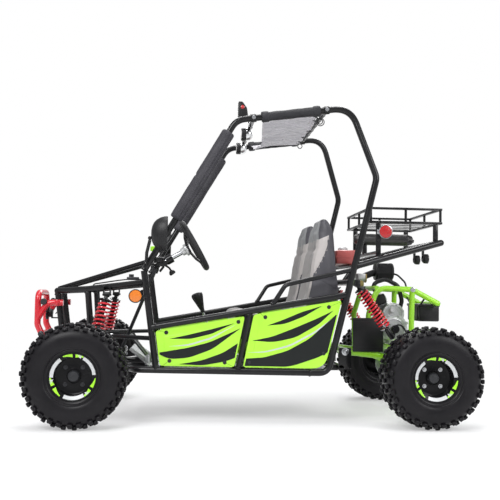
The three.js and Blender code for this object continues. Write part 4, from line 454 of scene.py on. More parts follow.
def slash(shape):
    spine = bent([(x, half, z) for x, z, half in shape], 250)
    rows = []
    for i, stop in enumerate(spine):
        ahead = spine[min(i + 1, len(spine) - 1)] - spine[max(i - 1, 0)]
        off = Vector((-ahead.z, 0, ahead.x)).normalized() * max(stop.y, 0.2)
        rows.append([bench.verts.new(Vector((stop.x, 2, stop.z)) + off * way) for way in (-1, 1)])
    for start, end in zip(rows, rows[1:]):
        bench.faces.new((start[0], end[0], end[1], start[1]))


for name, side in SIDES:
    for place, outline in OUTLINES.items():
        outline = [Vector((x, 0, z)) for x, z in outline]
        reaches = [16, 64 if place == "rear" else 16, 16, 16]
        for gap, low, high, soft in ((0, -2, 2, 0.8), (34, 1, 3.2, 1.4)):
            top = raised([point + Vector((0, low, 0)) for point in rounded(drawn_in(outline, gap), reaches)],
                         (0, high - low, 0))
            softened([edge for edge in bench.edges if all(vert in top for vert in edge.verts)], soft)
        follow_splay()
        piece(f"panel_{place}_{name}_sheet", lime_sheet, "frame", f"side_panel_{place}_{name}", 20,
              side)
        for label, shapes, paint in (("slashes", SLASHES[place], black_vinyl),
                                     ("stripe", (STRIPES[place],), silver_vinyl)):
            for shape in shapes:
                slash(shape)
            for i, corner in enumerate(outline):
                along = outline[(i + 1) % 4] - corner
                outward = Vector((along.z, 0, -along.x)).normalized()
                bmesh.ops.bisect_plane(bench, geom=bench.verts[:] + bench.edges[:] + bench.faces[:],
                                       plane_co=corner - outward * 7, plane_no=outward, clear_outer=True)
            raised(None, (0, 1.4, 0))
            follow_splay()
            piece(f"panel_{place}_{name}_{label}", paint, side=side)
        for x, z in PANEL_BOLTS[place]:
            bolt((x, splay(x) + 2.4, z), OUT, 5.5, 4.5)
        piece(f"panel_{place}_{name}_screws", steel_black, side=side)

# Floor pan: a folded steel tread plate, kept from the CAD, with its rolled grip bars
# and scuffed bare metal drawn by the paint alone
tread_plate, tree = new_paint("worn tread plate")
spot = put(tree, "TexCoord").outputs["Object"]
masks = []
for angle in (45, -45):
    turned = put(tree, "Mapping", {"Vector": spot, "Rotation": (0, 0, radians(angle)), "Scale": (1, 1, 0.02)})
    stretch = put(tree, "Mapping", {"Vector": turned, "Scale": (26, 78, 1)})
    cells = put(tree, "TexVoronoi", {"Vector": stretch, "Scale": 1.0, "Randomness": 0.0})
    masks.append(put(tree, "MapRange", {0: cells, 1: 0.22, 2: 0.32, 3: 1.0, 4: 0.0}))
bars = maths(tree, "MAXIMUM", *masks)
worn = mottled(tree, (0.36, 0.37, 0.38), (0.24, 0.245, 0.25), 7, 0.32, 0.5, 500, 0.1)
ridges = put(tree, "Bump", {"Height": bars, "Distance": 0.0012, "Strength": 1.0, "Normal": worn["Normal"]})
put(tree, "OutputMaterial", {"Surface": put(tree, "BsdfPrincipled", {
    "Base Color": blend(tree, bars, worn["Colour"], (0.6, 0.61, 0.62, 1)), "Roughness": worn["Roughness"],
    "Normal": ridges, "Metallic": 0.85})})
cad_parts["floor_pan"].data.materials.clear()
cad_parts["floor_pan"].data.materials.append(tread_plate)

# Seats: moulded foam buckets under taupe and grey vinyl, with sewn channels across the middle,
# a pale band down each bolster edged with dark piping, a grey headrest and a slate shell behind
seat_front = finish("taupe vinyl cloth", (0.33, 0.315, 0.31), (0.27, 0.26, 0.258), 0.5, 0.66, 0.5, 1100, 9)
seat_pale = finish("pale taupe vinyl", (0.46, 0.43, 0.42), (0.39, 0.365, 0.355), 0.45, 0.6, 0.3, 800)
seat_dark = finish("slate vinyl shell", (0.07, 0.068, 0.08), (0.045, 0.044, 0.052), 0.36, 0.52, 0.4, 700, 8)
seat_grey = finish("grey headrest vinyl", (0.26, 0.265, 0.27), (0.2, 0.205, 0.21), 0.4, 0.55, 0.3, 900)
SEAT_LINE = ((-75, 476), (-63, 500), (53, 483), (210, 466), (262, 515), (304.7, 647.5), (322, 780), (343, 894),
             (356, 1000))
SEAT_SHELL = ((-51, 404.1), (-27, 392.1), (53, 392.1), (250, 392.1), (376, 453.6), (424, 603.3), (412, 780),
              (402, 930), (394, 984))
SEAT_Y, SEAT_BASE = 205, 392.1
SEAT_NOSE, SEAT_TOP, SEAT_ROLL, HEAD_START = 0.04, 0.955, 0.12, 0.845


def curve_at(points, share):
    points = [Vector((x, 0, z)) for x, z in points]
    last = len(points) - 1
    step = min(int(share * last), last - 1)
    t = share * last - step
    p1, p2 = points[step], points[step + 1]
    p0 = points[step - 1] if step else p1 * 2 - p2
    p3 = points[step + 2] if step + 2 <= last else p2 * 2 - p1
    d0, d1, d2 = ((b - a).length ** 0.5 for a, b in ((p0, p1), (p1, p2), (p2, p3)))
    t1 = ((p1 - p0) / d0 - (p2 - p0) / (d0 + d1) + (p2 - p1) / d1) * d1
    t2 = ((p2 - p1) / d1 - (p3 - p1) / (d1 + d2) + (p3 - p2) / d2) * d1
    return p1 + t1 * t + (p2 * 3 - p1 * 3 - t1 * 2 - t2) * t ** 2 + (p1 * 2 - p2 * 2 + t1 + t2) * t ** 3


def ramp(value, low, high):
    t = max(0.0, min(1.0, (value - low) / (high - low)))
    return t * t * (3 - 2 * t)


def bump(value, middle, width):
    return exp(-((value - middle) / width) ** 2)


def seat_half(along):
    return (166 - 42 * max(0.0, along - 0.62) / 0.38) * (1 - 0.34 * max(0.0, (along - 0.84) / 0.16) ** 2.6)


def band_edge(along):
    return 0.385 if along > HEAD_START else 0.35 + 0.105 * ramp(along, 0.58, 0.84)


def inward(along, across):
    return ((min(max(along, SEAT_NOSE), SEAT_TOP) - SEAT_NOSE) / (SEAT_TOP - SEAT_NOSE),
            (min(max(across, SEAT_ROLL), 1 - SEAT_ROLL) - SEAT_ROLL) / (1 - 2 * SEAT_ROLL))


def seat_upper(along, across, side):
    point = curve_at(SEAT_LINE, along)
    ahead = curve_at(SEAT_LINE, min(along + 0.001, 1)) - curve_at(SEAT_LINE, max(along - 0.001, 0))
    wide = -cos(across * pi)
    out = abs(wide)
    height = (42 - 16 * ramp(along, 0.4, 0.6)) * (1 - 0.5 * ramp(along, 0.8, 0.95))
    height *= (ramp(out, 0.5, 0.86) - 0.35 * ramp(out, 0.88, 1)) * sin(min(along / 0.2, 1) * pi / 2)
    crown = 14 * cos(min(out / 0.6, 1) * pi / 2) + 12 * bump(along, 0.93, 0.05)
    seams = 6 * bump(along, 0.83, 0.012) + 7.5 * bump(out, 0.56, 0.022)
    rib = 7 * abs(sin(along * pi * 9)) ** 8 if out < 0.55 else 0
    tuck = 2.2 * noise.noise(Vector((along * 14, wide * 5, side * 6.15)))
    tuck += 1.2 * noise.noise(Vector((along * 46, wide * 9, side * 2.255)))
    point += Vector((-ahead.z, 0, ahead.x)).normalized() * (height + crown - seams - rib + tuck)
    point.y = side * SEAT_Y + wide * seat_half(along)
    return point


def seat_lower(along, across, side):
    shell = curve_at(SEAT_SHELL, along)
    shell.z = max(shell.z, SEAT_BASE)
    shell.y = side * SEAT_Y - cos(across * pi) * seat_half(along) * 0.96
    return shell


def seat_skin(along, across, side):
    edge = max(SEAT_ROLL - across, across - 1 + SEAT_ROLL, 0) / SEAT_ROLL
    top, nose = max(along - SEAT_TOP, 0) / (1 - SEAT_TOP), max(SEAT_NOSE - along, 0) / SEAT_NOSE
    front, back = seat_upper(*inward(along, across), side), seat_lower(*inward(along, across), side)
    turn = min(1.0, hypot(edge, max(top, nose)))
    if not turn:
        return front
    ends = (1, 0.97) if top else (0, 0.03)
    outward = (curve_at(SEAT_LINE, ends[0]) - curve_at(SEAT_LINE, ends[1])).normalized() * max(top, nose)
    outward += Vector((0, edge * (1 if across > 0.5 else -1), 0))
    puff = 16 * sin(pi * turn) * (1 + 0.3 * noise.noise(Vector((along * 9, across * 3, side * 1.435))))
    sewn = 4 * bump(front.lerp(back, turn).z, 700, 9) if edge > 0.1 else 0
    return front.lerp(back, turn) + outward.normalized() * (puff - sewn)


for name, side in SIDES:
    bmesh.ops.create_grid(bench, x_segments=130, y_segments=76, size=0.5)
    back = set(raised(None, (0, 0, 0)))
    shares = {vert: (vert.co.x + 0.5, vert.co.y + 0.5) for vert in bench.verts}
    for vert, share in shares.items():
        vert.co = seat_lower(*inward(*share), side) if vert in back else seat_skin(*share, side)
    for face in bench.faces:
        along = sum(shares[vert][0] for vert in face.verts) / len(face.verts)
        edge = sum(abs(shares[vert][1] - 0.5) for vert in face.verts) / len(face.verts)
        if any(vert in back for vert in face.verts) or edge > band_edge(along) or along > 0.985:
            face.material_index = 2
        elif along > HEAD_START:
            face.material_index = 3
        elif edge > 0.25:
            face.material_index = 1
    cushion = piece(f"seat_{name}_cushion", [seat_front, seat_pale, seat_dark, seat_grey], "frame", f"seat_{name}",
                    60)
    for end in (-1, 1):
        stops = [0.05 + 0.9 * k / 70 for k in range(71)]
        sweep([seat_skin(stop, 0.5 + end * band_edge(stop), side) for stop in stops], 1.7, 6)
        sweep([seat_skin(0.665 - 0.02 * k / 12, 0.5 + end * (0.41 + 0.085 * k / 12), side) for k in range(13)], 1.6, 6)
    piece(f"seat_{name}_piping", seat_dark)

# Steering: a foam covered wheel on three flat spokes, a zinc plated column with a black joint,
# and the lower shaft down to the rack
foam_grip = finish("black foam grip", (0.014, 0.014, 0.015), (0.024, 0.024, 0.026), 0.5, 0.7, 0.9, 700, specular=0.3)
grey_steel = finish("dark grey steel", (0.07, 0.072, 0.078), (0.045, 0.046, 0.05), 0.35, 0.52, 0.1, 500, metal=0.7,
                    scuffs=(0.3, 0.3, 0.3, 0.3))
black_moulding = finish("black moulded plastic", (0.009, 0.009, 0.01), (0.016, 0.016, 0.017), 0.28, 0.44, 0.15, 900,
                        specular=0.3)
cast = finish("cast aluminium", (0.66, 0.665, 0.67), (0.46, 0.47, 0.475), 0.34, 0.52, 0.4, 450, 14, metal=0.6,
              scuffs=(0.25, 0.16, 0.15, 0.14))
WHEEL, WHEEL_UP = Vector((-288, -200, 866)), Vector((-0.5008, 0, 0.8656))
JOINT, PINION = Vector((-473, -200, 759)), Vector((-646, -62, 343))
RACK = Vector((-650, 190, 311))


def on_column(distance):
    return WHEEL - COLUMN_WAY * distance


def on_wheel(distance, radius, turn):
    return on_column(distance) + WHEEL_UP * radius * cos(turn) + Vector((0, radius * sin(turn), 0))


def ring(centre, axis, radius, thick, steps=72, sides=14):
    turns = [tau * k / sides for k in range(sides + 1)]
    lathe([(radius + thick * cos(turn), thick * sin(turn)) for turn in turns], centre, axis, steps)


def ball(place, radius, u=20, v=12):
    bmesh.ops.create_uvsphere(bench, u_segments=u, v_segments=v, radius=radius, matrix=Matrix.Translation(place))


ring(WHEEL, -COLUMN_WAY, 128, 15)
piece("steering_wheel_grip", foam_grip, "steering_wheel_body", "steering_wheel")
lathe([(0, -13.5), (26, -13.5), (31.5, -9), (32, -3), (0, -3)], on_column(41), -COLUMN_WAY)
for angle in (180, -30, 61):
    rim = on_wheel(0, 116, radians(angle))
    start = on_column(41) + (rim - on_column(41)).normalized() * 20
    knee = start.lerp(rim, 0.45) - COLUMN_WAY * 6
    for nudge in (-5, 5):
        shift = (start - rim).cross(COLUMN_WAY).normalized() * nudge
        tube([start + shift, knee + shift, rim + shift], 6.2, 40, sides=8)
piece("steering_wheel_spokes", black_moulding, "steering_wheel_body")
lathe([(12, -4), (29, -4), (31.5, 0), (31, 10), (24, 12.5), (21, 14), (19.5, 30), (12, 32)],
      on_column(41), -COLUMN_WAY)
piece("steering_hub", cast, "steering_wheel_body")
tube([on_column(50), on_column(198.5)], 12.1, sides=20)
for k in range(4):
    bolt(on_wheel(28.5, 16, tau * (k + 0.5) / 4), COLUMN_WAY, 3.5, 3)
piece("steering_column", bright, "steering_wheel_body")

ball(JOINT, 15)
tube([JOINT, PINION], 9, sides=16)
shaft_way = (PINION - JOINT).normalized()
lathe([(9, 12), (16.5, 12), (16.5, 36), (9, 36), (9, 12)], JOINT, shaft_way, 20)
bolt(JOINT + shaft_way * 24 + Vector((0, -16.5, 0)), DRIVER, 5, 4)
piece("steering_shaft_rod", steel_black, "steering_shaft_body", "steering_shaft")

across(RACK.x, RACK.z, 181, 9.8, 18)
for side in (-1, 1):
    spot = Vector((RACK.x, side * RACK.y, RACK.z))
    block(spot, (10, 10, 10), 2)
    bolt(spot + Vector((0, 0, 9.5)), UP)
piece("steering_rack_bar", bright, "steering_rack_body", "steering_rack")

# Tie rods, front arms and knuckles: plated rods with ball ends, black welded A arms,
# and forged grey uprights on king pin bolts, each pair mirrored
KING, HUB_Z = Vector((-824, 415, 241)), 241
UNIT_FOOT = Vector((-790, 340, 286))
for name, side in SIDES:
    low, high = (corner.z * 1000 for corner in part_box(f"tie_rod_{name}"))
    inner, outer = Vector((RACK.x, RACK.y, low + 11)), Vector((-745, 394, high - 11))
    along = (outer - inner).normalized()
    tube([inner, outer], 6.2)
    for spot, way in ((inner, along), (outer, -along)):
        ball(spot, 10.8, 18, 10)
        tube([spot + way * 14, spot + way * 24], 9.5, sides=6)
        tube([spot + way * 24, spot + way * 50], 7.8)
    piece(f"tie_rod_{name}_bar", bright, f"tie_rod_{name}_body", f"tie_rod_{name}", side=side)

    for x, end in zip(ARM_PINS, (-1, 1)):
        pin, leg_end = Vector((x, ARM_Y, ARM_Z)), Vector((KING.x + end * 4.75, 387, KING.z))
        tube([(x - 20, ARM_Y, ARM_Z), (x + 20, ARM_Y, ARM_Z)], 14, sides=18)
        tube([pin, leg_end], 11)
        weld(pin.lerp(leg_end, 0.07), leg_end - pin, 10.5)
    bar((-843, 384, 186), (-809, 390, 296))
    for z, way in ((189, -1), (293, 1)):
        bar((-843, 387, z - 3), (-805, 431, z + 3))
        bolt((KING.x, KING.y, z + way * 3), (0, 0, way), 9, 7)
    x, y, z = UNIT_FOOT
    bar((x - 23.8, y - 13, 235.5), (x + 23.8, y + 13, 252))
    ears((x, y - 13, 241), (x, y + 13, 299), 20.8, soft=2.5)
    for end in (-1, 1):
        bolt((x + end * 23.8, y, z), (end, 0, 0))
    piece(f"front_arm_{name}_weldment", black_coat, f"front_arm_{name}_body", f"front_arm_{name}",
          side=side)

    tube([(KING.x, KING.y, 197), (KING.x, KING.y, 285)], 16, sides=22)
    lathe([(16, -30), (18.5, -27), (18.5, 27), (16, 30)], KING, UP, 22)
    tube([KING, (KING.x, 535, HUB_Z)], 12.2, sides=22)
    tube([(KING.x, 430, HUB_Z), (KING.x, 452, HUB_Z)], 19, sides=22)
    tube([(KING.x, KING.y, 268), (-745, 394, 268)], 5.2, sides=10)
    bar((-790, 397.5, 262.5), (-758, 409.5, 273.5), 3, Matrix.Rotation(0.26, 4, "Z"))
    tube([(-745, 394, 262.2), (-745, 394, 273.8)], 11, sides=18)
    piece(f"knuckle_{name}_forging", grey_steel, f"knuckle_{name}_body", f"knuckle_{name}", side=side)

# Tyres and rims: thick black rubber with a round sidewall, ribs by the bead and six rows of moulded
# knobs, on gloss black pressed rims with printed ring segments, a plastic cap and four nuts
rubber = finish("tyre rubber", (0.006, 0.0055, 0.007), (0.011, 0.01, 0.012), 0.3, 0.44, 0.3, 380, 10, specular=0.22,
                scuffs=(0.3, 0.028, 0.027, 0.03))
rim_black = finish("gloss black rim paint", (0.006, 0.006, 0.007), (0.01, 0.01, 0.011), 0.18, 0.3, 0.06,
                   specular=0.15, scuffs=(0.1, 0.3, 0.3, 0.3))
lime_vinyl = finish("lime printed vinyl", (0.4, 0.85, 0.03), (0.34, 0.78, 0.025), 0.3, 0.4, 0.03)
pale_vinyl = finish("pale grey printed vinyl", (0.62, 0.63, 0.64), (0.54, 0.55, 0.56), 0.3, 0.4, 0.03)
cap_grey = finish("dark grey cap plastic", (0.03, 0.031, 0.034), (0.022, 0.023, 0.026), 0.32, 0.48, 0.2, 900,
                  specular=0.3)
KNOBS_AROUND = 30


def sector(place, start, end, rise, fall, lip):
    steps = max(2, int((end - start) / 3))
    rows = []
    for share in (k / steps for k in range(steps + 1)):
        angle = radians(start + (end - start) * share)
        low = max(rise * (1 - share), fall * share)
        rows.append([bench.verts.new(place @ Vector((radius * cos(angle), radius * sin(angle), height)))
                     for radius, height in ((86.8 + 15.5 * low, lip - 11.2 + 7.4 * low), (102.4, lip - 3.7))])
    for a, b in zip(rows, rows[1:]):
        bench.faces.new((a[0], a[1], b[1], b[0]))


def wheel(tag, centre, out, width, body_tyre, body_rim):
    half = width / 2
    place = facing(centre, (0, out, 0))
    bead, lip = half - 19, half - 14
    section = [(102.5, bead), (108.5, bead + 3), (114.5, bead + 4), (120, bead + 8.5), (123.5, bead + 7.5),
               (127, bead + 11.5), (131, bead + 10.5), (134.5, bead + 13.5), (147, half - 3.5), (163, half - 1.5),
               (180, half - 3), (196, half - 8), (206, half - 13.5), (216.5, half - 24), (224.5, half * 0.6),
               (228.5, half * 0.3), (229.5, 0)]
    inside = [(102.5, 12 - bead), (160, 20 - half), (212, -half * 0.55), (212, half * 0.55), (160, half - 20),
              (102.5, bead - 12), (102.5, bead)]
    lathe(section + [(radius, -y) for radius, y in reversed(section[:-1])] + inside, place, steps=90)
    piece(f"{tag}_tyre", rubber, body_tyre, f"tyre_{tag}", 45)
    for k in range(KNOBS_AROUND):
        for end in (-1, 1):
            for offset, y, radius, lean, size in (
                    (0 if k % 2 else 0.12, half - 15.5, 217.5, 0.95, (16.5, 24, 19)),
                    (0.5, half * 0.62, 231.5, 0.3, (16.5, 22, 18)), (0.02, half * 0.24, 233.5, 0.06, (14, 22, 19.5))):
                turn = (k + offset + (0.25 if end > 0 else 0)) * tau / KNOBS_AROUND
                spot = (Matrix.Rotation(turn, 4, "Z") @ Matrix.Translation((radius, 0, end * y))
                        @ Matrix.Rotation(-end * lean, 4, "Y") @ Matrix.Diagonal((*size, 1)))
                bmesh.ops.create_cube(bench, size=1, matrix=place @ spot)
    softened(bench.edges[:], 4.5)
    piece(f"{tag}_knobs", rubber, body_tyre, sharp=50)
    lathe([(0, 30), (30, 30), (33, 26.2), (34.5, 25.5), (70, 27.5), (78, 28.5), (82.5, 31), (84.2, lip - 16),
           (85.8, lip - 12.5), (103.2, lip - 4.2), (104.6, lip - 0.2), (111, lip - 0.2), (112.8, lip - 2.2),
           (112.5, lip - 4), (103.5, lip - 8), (101.6, lip - 14), (100, 0), (101.6, 12 - lip), (103.5, 6 - lip),
           (112.5, 4 - lip), (111, 0.2 - lip), (98.5, 0.5 - lip), (96.5, 10 - lip), (96, 18), (88, 22.5), (70, 16),
           (34, 14.8), (33, -27), (13.5, -27), (13.5, 22), (0, 22)], place, steps=72)
    tube([place @ Vector((91, 0, 26)), place @ Vector((88, 0, 46))], 3.5, sides=10)
    piece(f"{tag}_rim", rim_black, body_rim, f"rim_{tag}")
    for label, paint, thick, parts in (("pale", pale_vinyl, 0.4, ((6, 62, 0, 0), (68, 80, 0, 0.62))),
                                       ("lime", lime_vinyl, 0.7, ((63, 84, 0.6, 0), (92, 117, 0, 0.75)))):
        for third in (0, 120, 240):
            for start, end, rise, fall in parts:
                sector(place, start + third, end + third, rise, fall, lip)
        bmesh.ops.recalc_face_normals(bench, faces=bench.faces)
        bmesh.ops.solidify(bench, geom=bench.faces[:], thickness=thick)
        piece(f"{tag}_ring_{label}", paint, body_rim)
    lathe([(0, 54), (14, 53.5), (18, 51.5), (22, 51.5), (24.5, 49), (26, 43), (26, 24), (20, 22)], place, steps=40)
    piece(f"{tag}_cap", cap_grey, body_rim)
    for k in range(4):
        bolt(place @ Matrix.Rotation(tau * (k + 0.5) / 4, 4, "Z") @ Vector((55, 0, 26.2)), (0, out, 0), 6, 7)
    piece(f"{tag}_nuts", steel_black if tag.startswith("front") else bright, body_rim)


AXLE = Vector((850, 0, 241))
for name, side in SIDES:
    wheel(f"front_{name}", (KING.x, side * 515, HUB_Z), side, 180, f"front_wheel_{name}", f"front_wheel_{name}")
    wheel(f"rear_{name}", (AXLE.x, side * 498, HUB_Z), side, 214, "rear_axle_body", "rear_axle_body")

# Spring and damper units: red painted coils between stamped seats, black damper bodies,
# plated rods under black sleeves, and bushed eyes
red_coat = finish("red powder coat", (0.68, 0.014, 0.03), (0.56, 0.011, 0.022), 0.18, 0.3, 0.08, coat=0.5,
                  scuffs=(0.15, 0.3, 0.03, 0.03))


def shock(end, name, top, foot, spring, curls, eye_way):
    top, foot = Vector(top), Vector(foot)
    way = (top - foot).normalized()
    length = (top - foot).length
    base = facing(foot, way)
    seat_z = length - 26
    low_z = seat_z - 6.4 - spring
    tag, damper, rod = f"{end}_shock_{name}", f"{end}_damper_{name}", f"{end}_rod_{name}"
    tube([top - eye_way * 12.8, top + eye_way * 12.8], 13, sides=22)
    lathe([(8.5, length - 8), (10.5, seat_z + 6), (19, seat_z + 4), (20, seat_z), (30.5, seat_z - 0.5),
           (31, seat_z - 5.5), (28, seat_z - 6), (13.5, seat_z - 6), (13.5, low_z + 46), (12, low_z + 40),
           (7.5, low_z + 40)], base, steps=30)
    piece(f"{tag}_damper_body", black_coat, damper, f"{tag}_damper")
    tube([foot - eye_way * 12.8, foot + eye_way * 12.8], 13, sides=22)
    lathe([(9, 6), (10.5, 18), (7, 22), (7, low_z - 8), (30, low_z - 6.4), (31, low_z - 1.5), (29, low_z - 0.4),
           (7, low_z - 0.4), (7, seat_z - 64)], base, steps=30)
    piece(f"{tag}_damper_rod", bright, rod, f"{tag}_rod")
    lathe([(7, 18), (12.5, 19), (13.5, 22), (13.5, low_z - 12), (12.5, low_z - 9), (7, low_z - 9), (7, 18)], base,
          steps=30)
    piece(f"{tag}_foot_sleeve", black_coat, rod)
    points = []
    for share in (k / (curls * 20) for k in range(curls * 20 + 1)):
        turn = share * curls * tau
        climb = low_z + 5 + (spring - 10) * share
        points.append(base @ Vector((26.2 * cos(turn), 26.2 * sin(turn), climb)))
    sweep(points, 4.9, 10)
    coil = piece(f"{tag}_coil", red_coat, damper, f"{tag}_spring")
    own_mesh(coil)


for name, side in SIDES:
    shock("front", name, (-715, side * 262, 610), (UNIT_FOOT.x, side * UNIT_FOOT.y, UNIT_FOOT.z), 196, 9,
          BACK)
    shock("rear", name, (534, side * 300, 679), (731, side * 300, 397), 222, 12, OUT)

# Swing arm: lime painted loop frame round the engine, with its pivot tube, axle housing,
# unit lugs, battery box and chain guard
lime_coat = finish("lime powder coat", (0.36, 0.78, 0.03), (0.3, 0.68, 0.025), 0.24, 0.36, 0.08, coat=0.4,
                   scuffs=(0.15, 0.16, 0.3, 0.04))
PIVOT_Z, LOOP_Y = 336, 170
pivot, unit_lug, loop_top = (498, LOOP_Y, PIVOT_Z), (731, LOOP_Y, 355.4), (859, LOOP_Y, 661)
for corners, radius, bend in (([pivot, (683, LOOP_Y, 316), (AXLE.x, LOOP_Y, HUB_Z)], 17, 70),
                              ([(632, LOOP_Y, 321.5), (626, LOOP_Y, 524), (670, LOOP_Y, 667), loop_top], 14.5, 70),
                              ([(AXLE.x, LOOP_Y, HUB_Z), loop_top], 14.5, 0),
                              ([loop_top, (1000, LOOP_Y, 589)], 14.5, 0), ([(731, LOOP_Y, 294.5), unit_lug], 14.5, 0)):
    tube(corners, radius, bend)
ears((718, 300, 355.4), (744, 300, 410), 15.9, 1, 2.5)
weld((AXLE.x, LOOP_Y, 276), (0.02, 0, 1), 14)
weld((632, LOOP_Y, 341), UP, 14)
doubled()
for x, z, half, radius, sides in (
        (498, PIVOT_Z, 196, 20, 14), (670, 667, LOOP_Y, 11.9, 14), (859, 661, LOOP_Y, 11.9, 14),
        (1000, 589, LOOP_Y, 11.9, 14), (731, 355.4, 319, 17, 14), (AXLE.x, HUB_Z, 196, 33, 26)):
    across(x, z, half, radius, sides)
piece("swing_arm_frame", lime_coat, "swing_arm_body", "swing_arm")
tube([(731, 281, 397), (731, 321, 397)], 5.5)
for x, y, z, radius, height in ((731, 318.9, 397, 8, 6), (859, 184.5, 661, 8, 6), (498, 202.5, PIVOT_Z, 11, 8)):
    bolt((x, y, z), OUT, radius, height)
lathe([(17, 0), (32, 0), (32.2, 6), (28, 8), (17.5, 8), (17, 0)], (AXLE.x, 195.5, HUB_Z), OUT, 30)
doubled()
piece("swing_arm_bolts", bright, "swing_arm_body")
for low, high, soft in (((918, -110, 493), (1027, 110, 580), 8), ((914, -112.5, 572), (1029.5, 112.5, 586.2), 4),
                        *(((915, y - 6, 500), (1028.5, y + 6, 568), 2) for y in (-70, 0, 70)),
                        ((540, -190.8, 335), (700, -186.5, 510), 1.8), ((552, -192.2, 360), (688, -190, 492), 1)):
    bar(low, high, soft)
for y in (-160, 160):
    tube([(930, y * 0.6, 586), (930, y, 618)], 5, sides=8)
piece("battery_box", black_moulding, "swing_arm_body")

# Rear axle: machined steel shaft with the chain sprocket on the left and a flat brake disc
# on the right, each on five bolts
machined = finish("machined steel", (0.48, 0.49, 0.5), (0.36, 0.37, 0.38), 0.22, 0.4, 0.06, 900, metal=1,
                  scuffs=(0.2, 0.2, 0.18, 0.16))
TEETH, CHAIN_Y = 37, 226


def around(centre, radius, turn, y=0):
    return Vector((centre[0] + radius * cos(turn), y, centre[1] + radius * sin(turn)))


across(AXLE.x, HUB_Z, 515, 14.8, 24)
for side in (-1, 1):
    tube([(AXLE.x, side * 205.5, HUB_Z), (AXLE.x, side * 232, HUB_Z)], 26, sides=24)
raised([around((AXLE.x, HUB_Z), radius, tau * (k + share) / TEETH, -228.5) for k in range(TEETH)
        for share, radius in ((0, 84), (0.28, 91.5), (0.5, 91.5), (0.78, 84))], (0, 5, 0))
lathe([(27, -2.6), (83, -2.6), (84, -1.6), (84, 1.6), (83, 2.6), (27, 2.6), (27, -2.6)],
      (AXLE.x, CHAIN_Y, HUB_Z), OUT, 60)
for k in range(5):
    for side in (-1, 1):
        bolt(around((AXLE.x, HUB_Z), 40, tau * k / 5, side * 228.9), (0, side, 0), 5, 4)
piece("rear_axle_shaft", machined, "rear_axle_body", "rear_axle")

# Engine: cast aluminium crankcase with a ribbed side cover, finned barrel leaning forward,
# carburettor with its brass bowl, intake, and a round black foam air filter
CRANK, GEARS, CARB = Vector((772, 0, 452)), Vector((776, 0, 530)), Vector((622, 0, 722))
FILTER_PLEATS, PLEAT_RADIUS = 40, 44.8
lathe([(0, -118), (66, -118), (78, -110), (84, -100), (84, -12), (87.5, -8), (87.5, 8), (84, 12), (84, 100), (80, 112),
       (70, 118), (66, 122), (66, 132), (60, 138), (52, 140), (50, 136), (30, 136), (28, 140), (0, 140)],
      CRANK, DRIVER, 48)
lathe([(60, -118), (66, -120), (64, -138), (50, -140), (0, -140)], CRANK, DRIVER, 40)
for k in range(8):
    bolt(around(CRANK.xz, 74, tau * (k + 0.5) / 8, -116), DRIVER, 5, 6)
for turn in (0.4, 1.6, 2.9, 4.1, 5.3):
    tube([around(CRANK.xz, 80, turn, -118), around(CRANK.xz, 80, turn, 118)], 8.5, sides=12)
barrel_way = Vector((-0.066, 0, 0.166)).normalized()
lean = Matrix.Rotation(atan2(barrel_way.x, barrel_way.z), 4, "Y")
for k in range(7):
    block(CRANK + barrel_way * (86 + 8.5 * k), (44, 50, 1.8), 0.9, lean)
tube([CRANK + barrel_way * 60, CRANK + barrel_way * 150], 38, sides=28)
block(CRANK + barrel_way * 161, (45, 50, 19), 9, lean)
lathe([(0, 50), (55, 50), (60, 56), (60, 104), (57, 111), (48, 114), (46, 109), (25, 109), (23, 115), (0, 116)],
      GEARS, DRIVER, 40)
lathe([(0, 113), (13, 113), (15, 117), (15, 127), (12, 131), (0, 131)], (766, 0, 553), DRIVER, 24)
for turn in (0.3, 1.2, 2.1, 3.0):
    bolt(around(GEARS.xz, 52, turn, -112), DRIVER, 4.2, 5)
across(731, 375, 50, 16)
bar((714, -59, 373), (748, 59, 420), 4)
lathe([(0, -24), (20, -24), (24, -20), (24, 20), (20, 24), (0, 24)], CARB, BACK, 26)
bar((600, -30, 712), (644, 30, 745), 5)
piece("engine_castings", cast, "swing_arm_body", "engine")
tube([(706, 0, 600), (622, 0, 670), CARB], 12.8, 24, sides=16)
tube([CARB, (719, 0, 761)], 18, sides=18)
lathe([(0, 0), (20, 2), (45.5, 4), (47, 8), (47, 16), (44.5, 18), (44.5, 86), (48, 88), (48, 98), (44, 102), (0, 102)],
      (696, 0, 757), BACK, 44)
for k in range(FILTER_PLEATS):
    turn = tau * k / FILTER_PLEATS
    spot = Vector((714, PLEAT_RADIUS * cos(turn), 757 + PLEAT_RADIUS * sin(turn)))
    tube([spot, spot + Vector((68, 0, 0))], 1.9, sides=6)
lathe([(0, 30), (20, 30), (22, 34), (22, 50), (19, 54), (0, 54)], (772, -118, 452), DRIVER, 24)
bar((676, -112, 578), (736, -46, 632), 7, lean)
tube([(694, -94, 620), (660, -100, 690), (735, -100, 716), (806, -98, 680), (826, -94, 600), (812, -90, 545)], 11.5, 50,
     sides=16, steps=9)
tube([(780, -15, 752), (820, -30, 740), (856, -50, 700), (859, -60, 678)], 4.8, 40, sides=10, steps=8)
piece("engine_hoses", black_moulding, "swing_arm_body")
brass = finish("dull brass", (0.5, 0.38, 0.16), (0.4, 0.3, 0.12), 0.3, 0.45, 0.08, metal=0.9)
lathe([(19, 0), (26.2, 0), (26.5, 6), (19, 6), (19, 0)], (646, 0, 722), BACK, 26)
lathe([(0, 48), (14, 47), (19, 42), (19, 12), (0, 12)], CARB, (0, 0, -1), 24)
piece("carburettor_bowl", brass, "swing_arm_body")

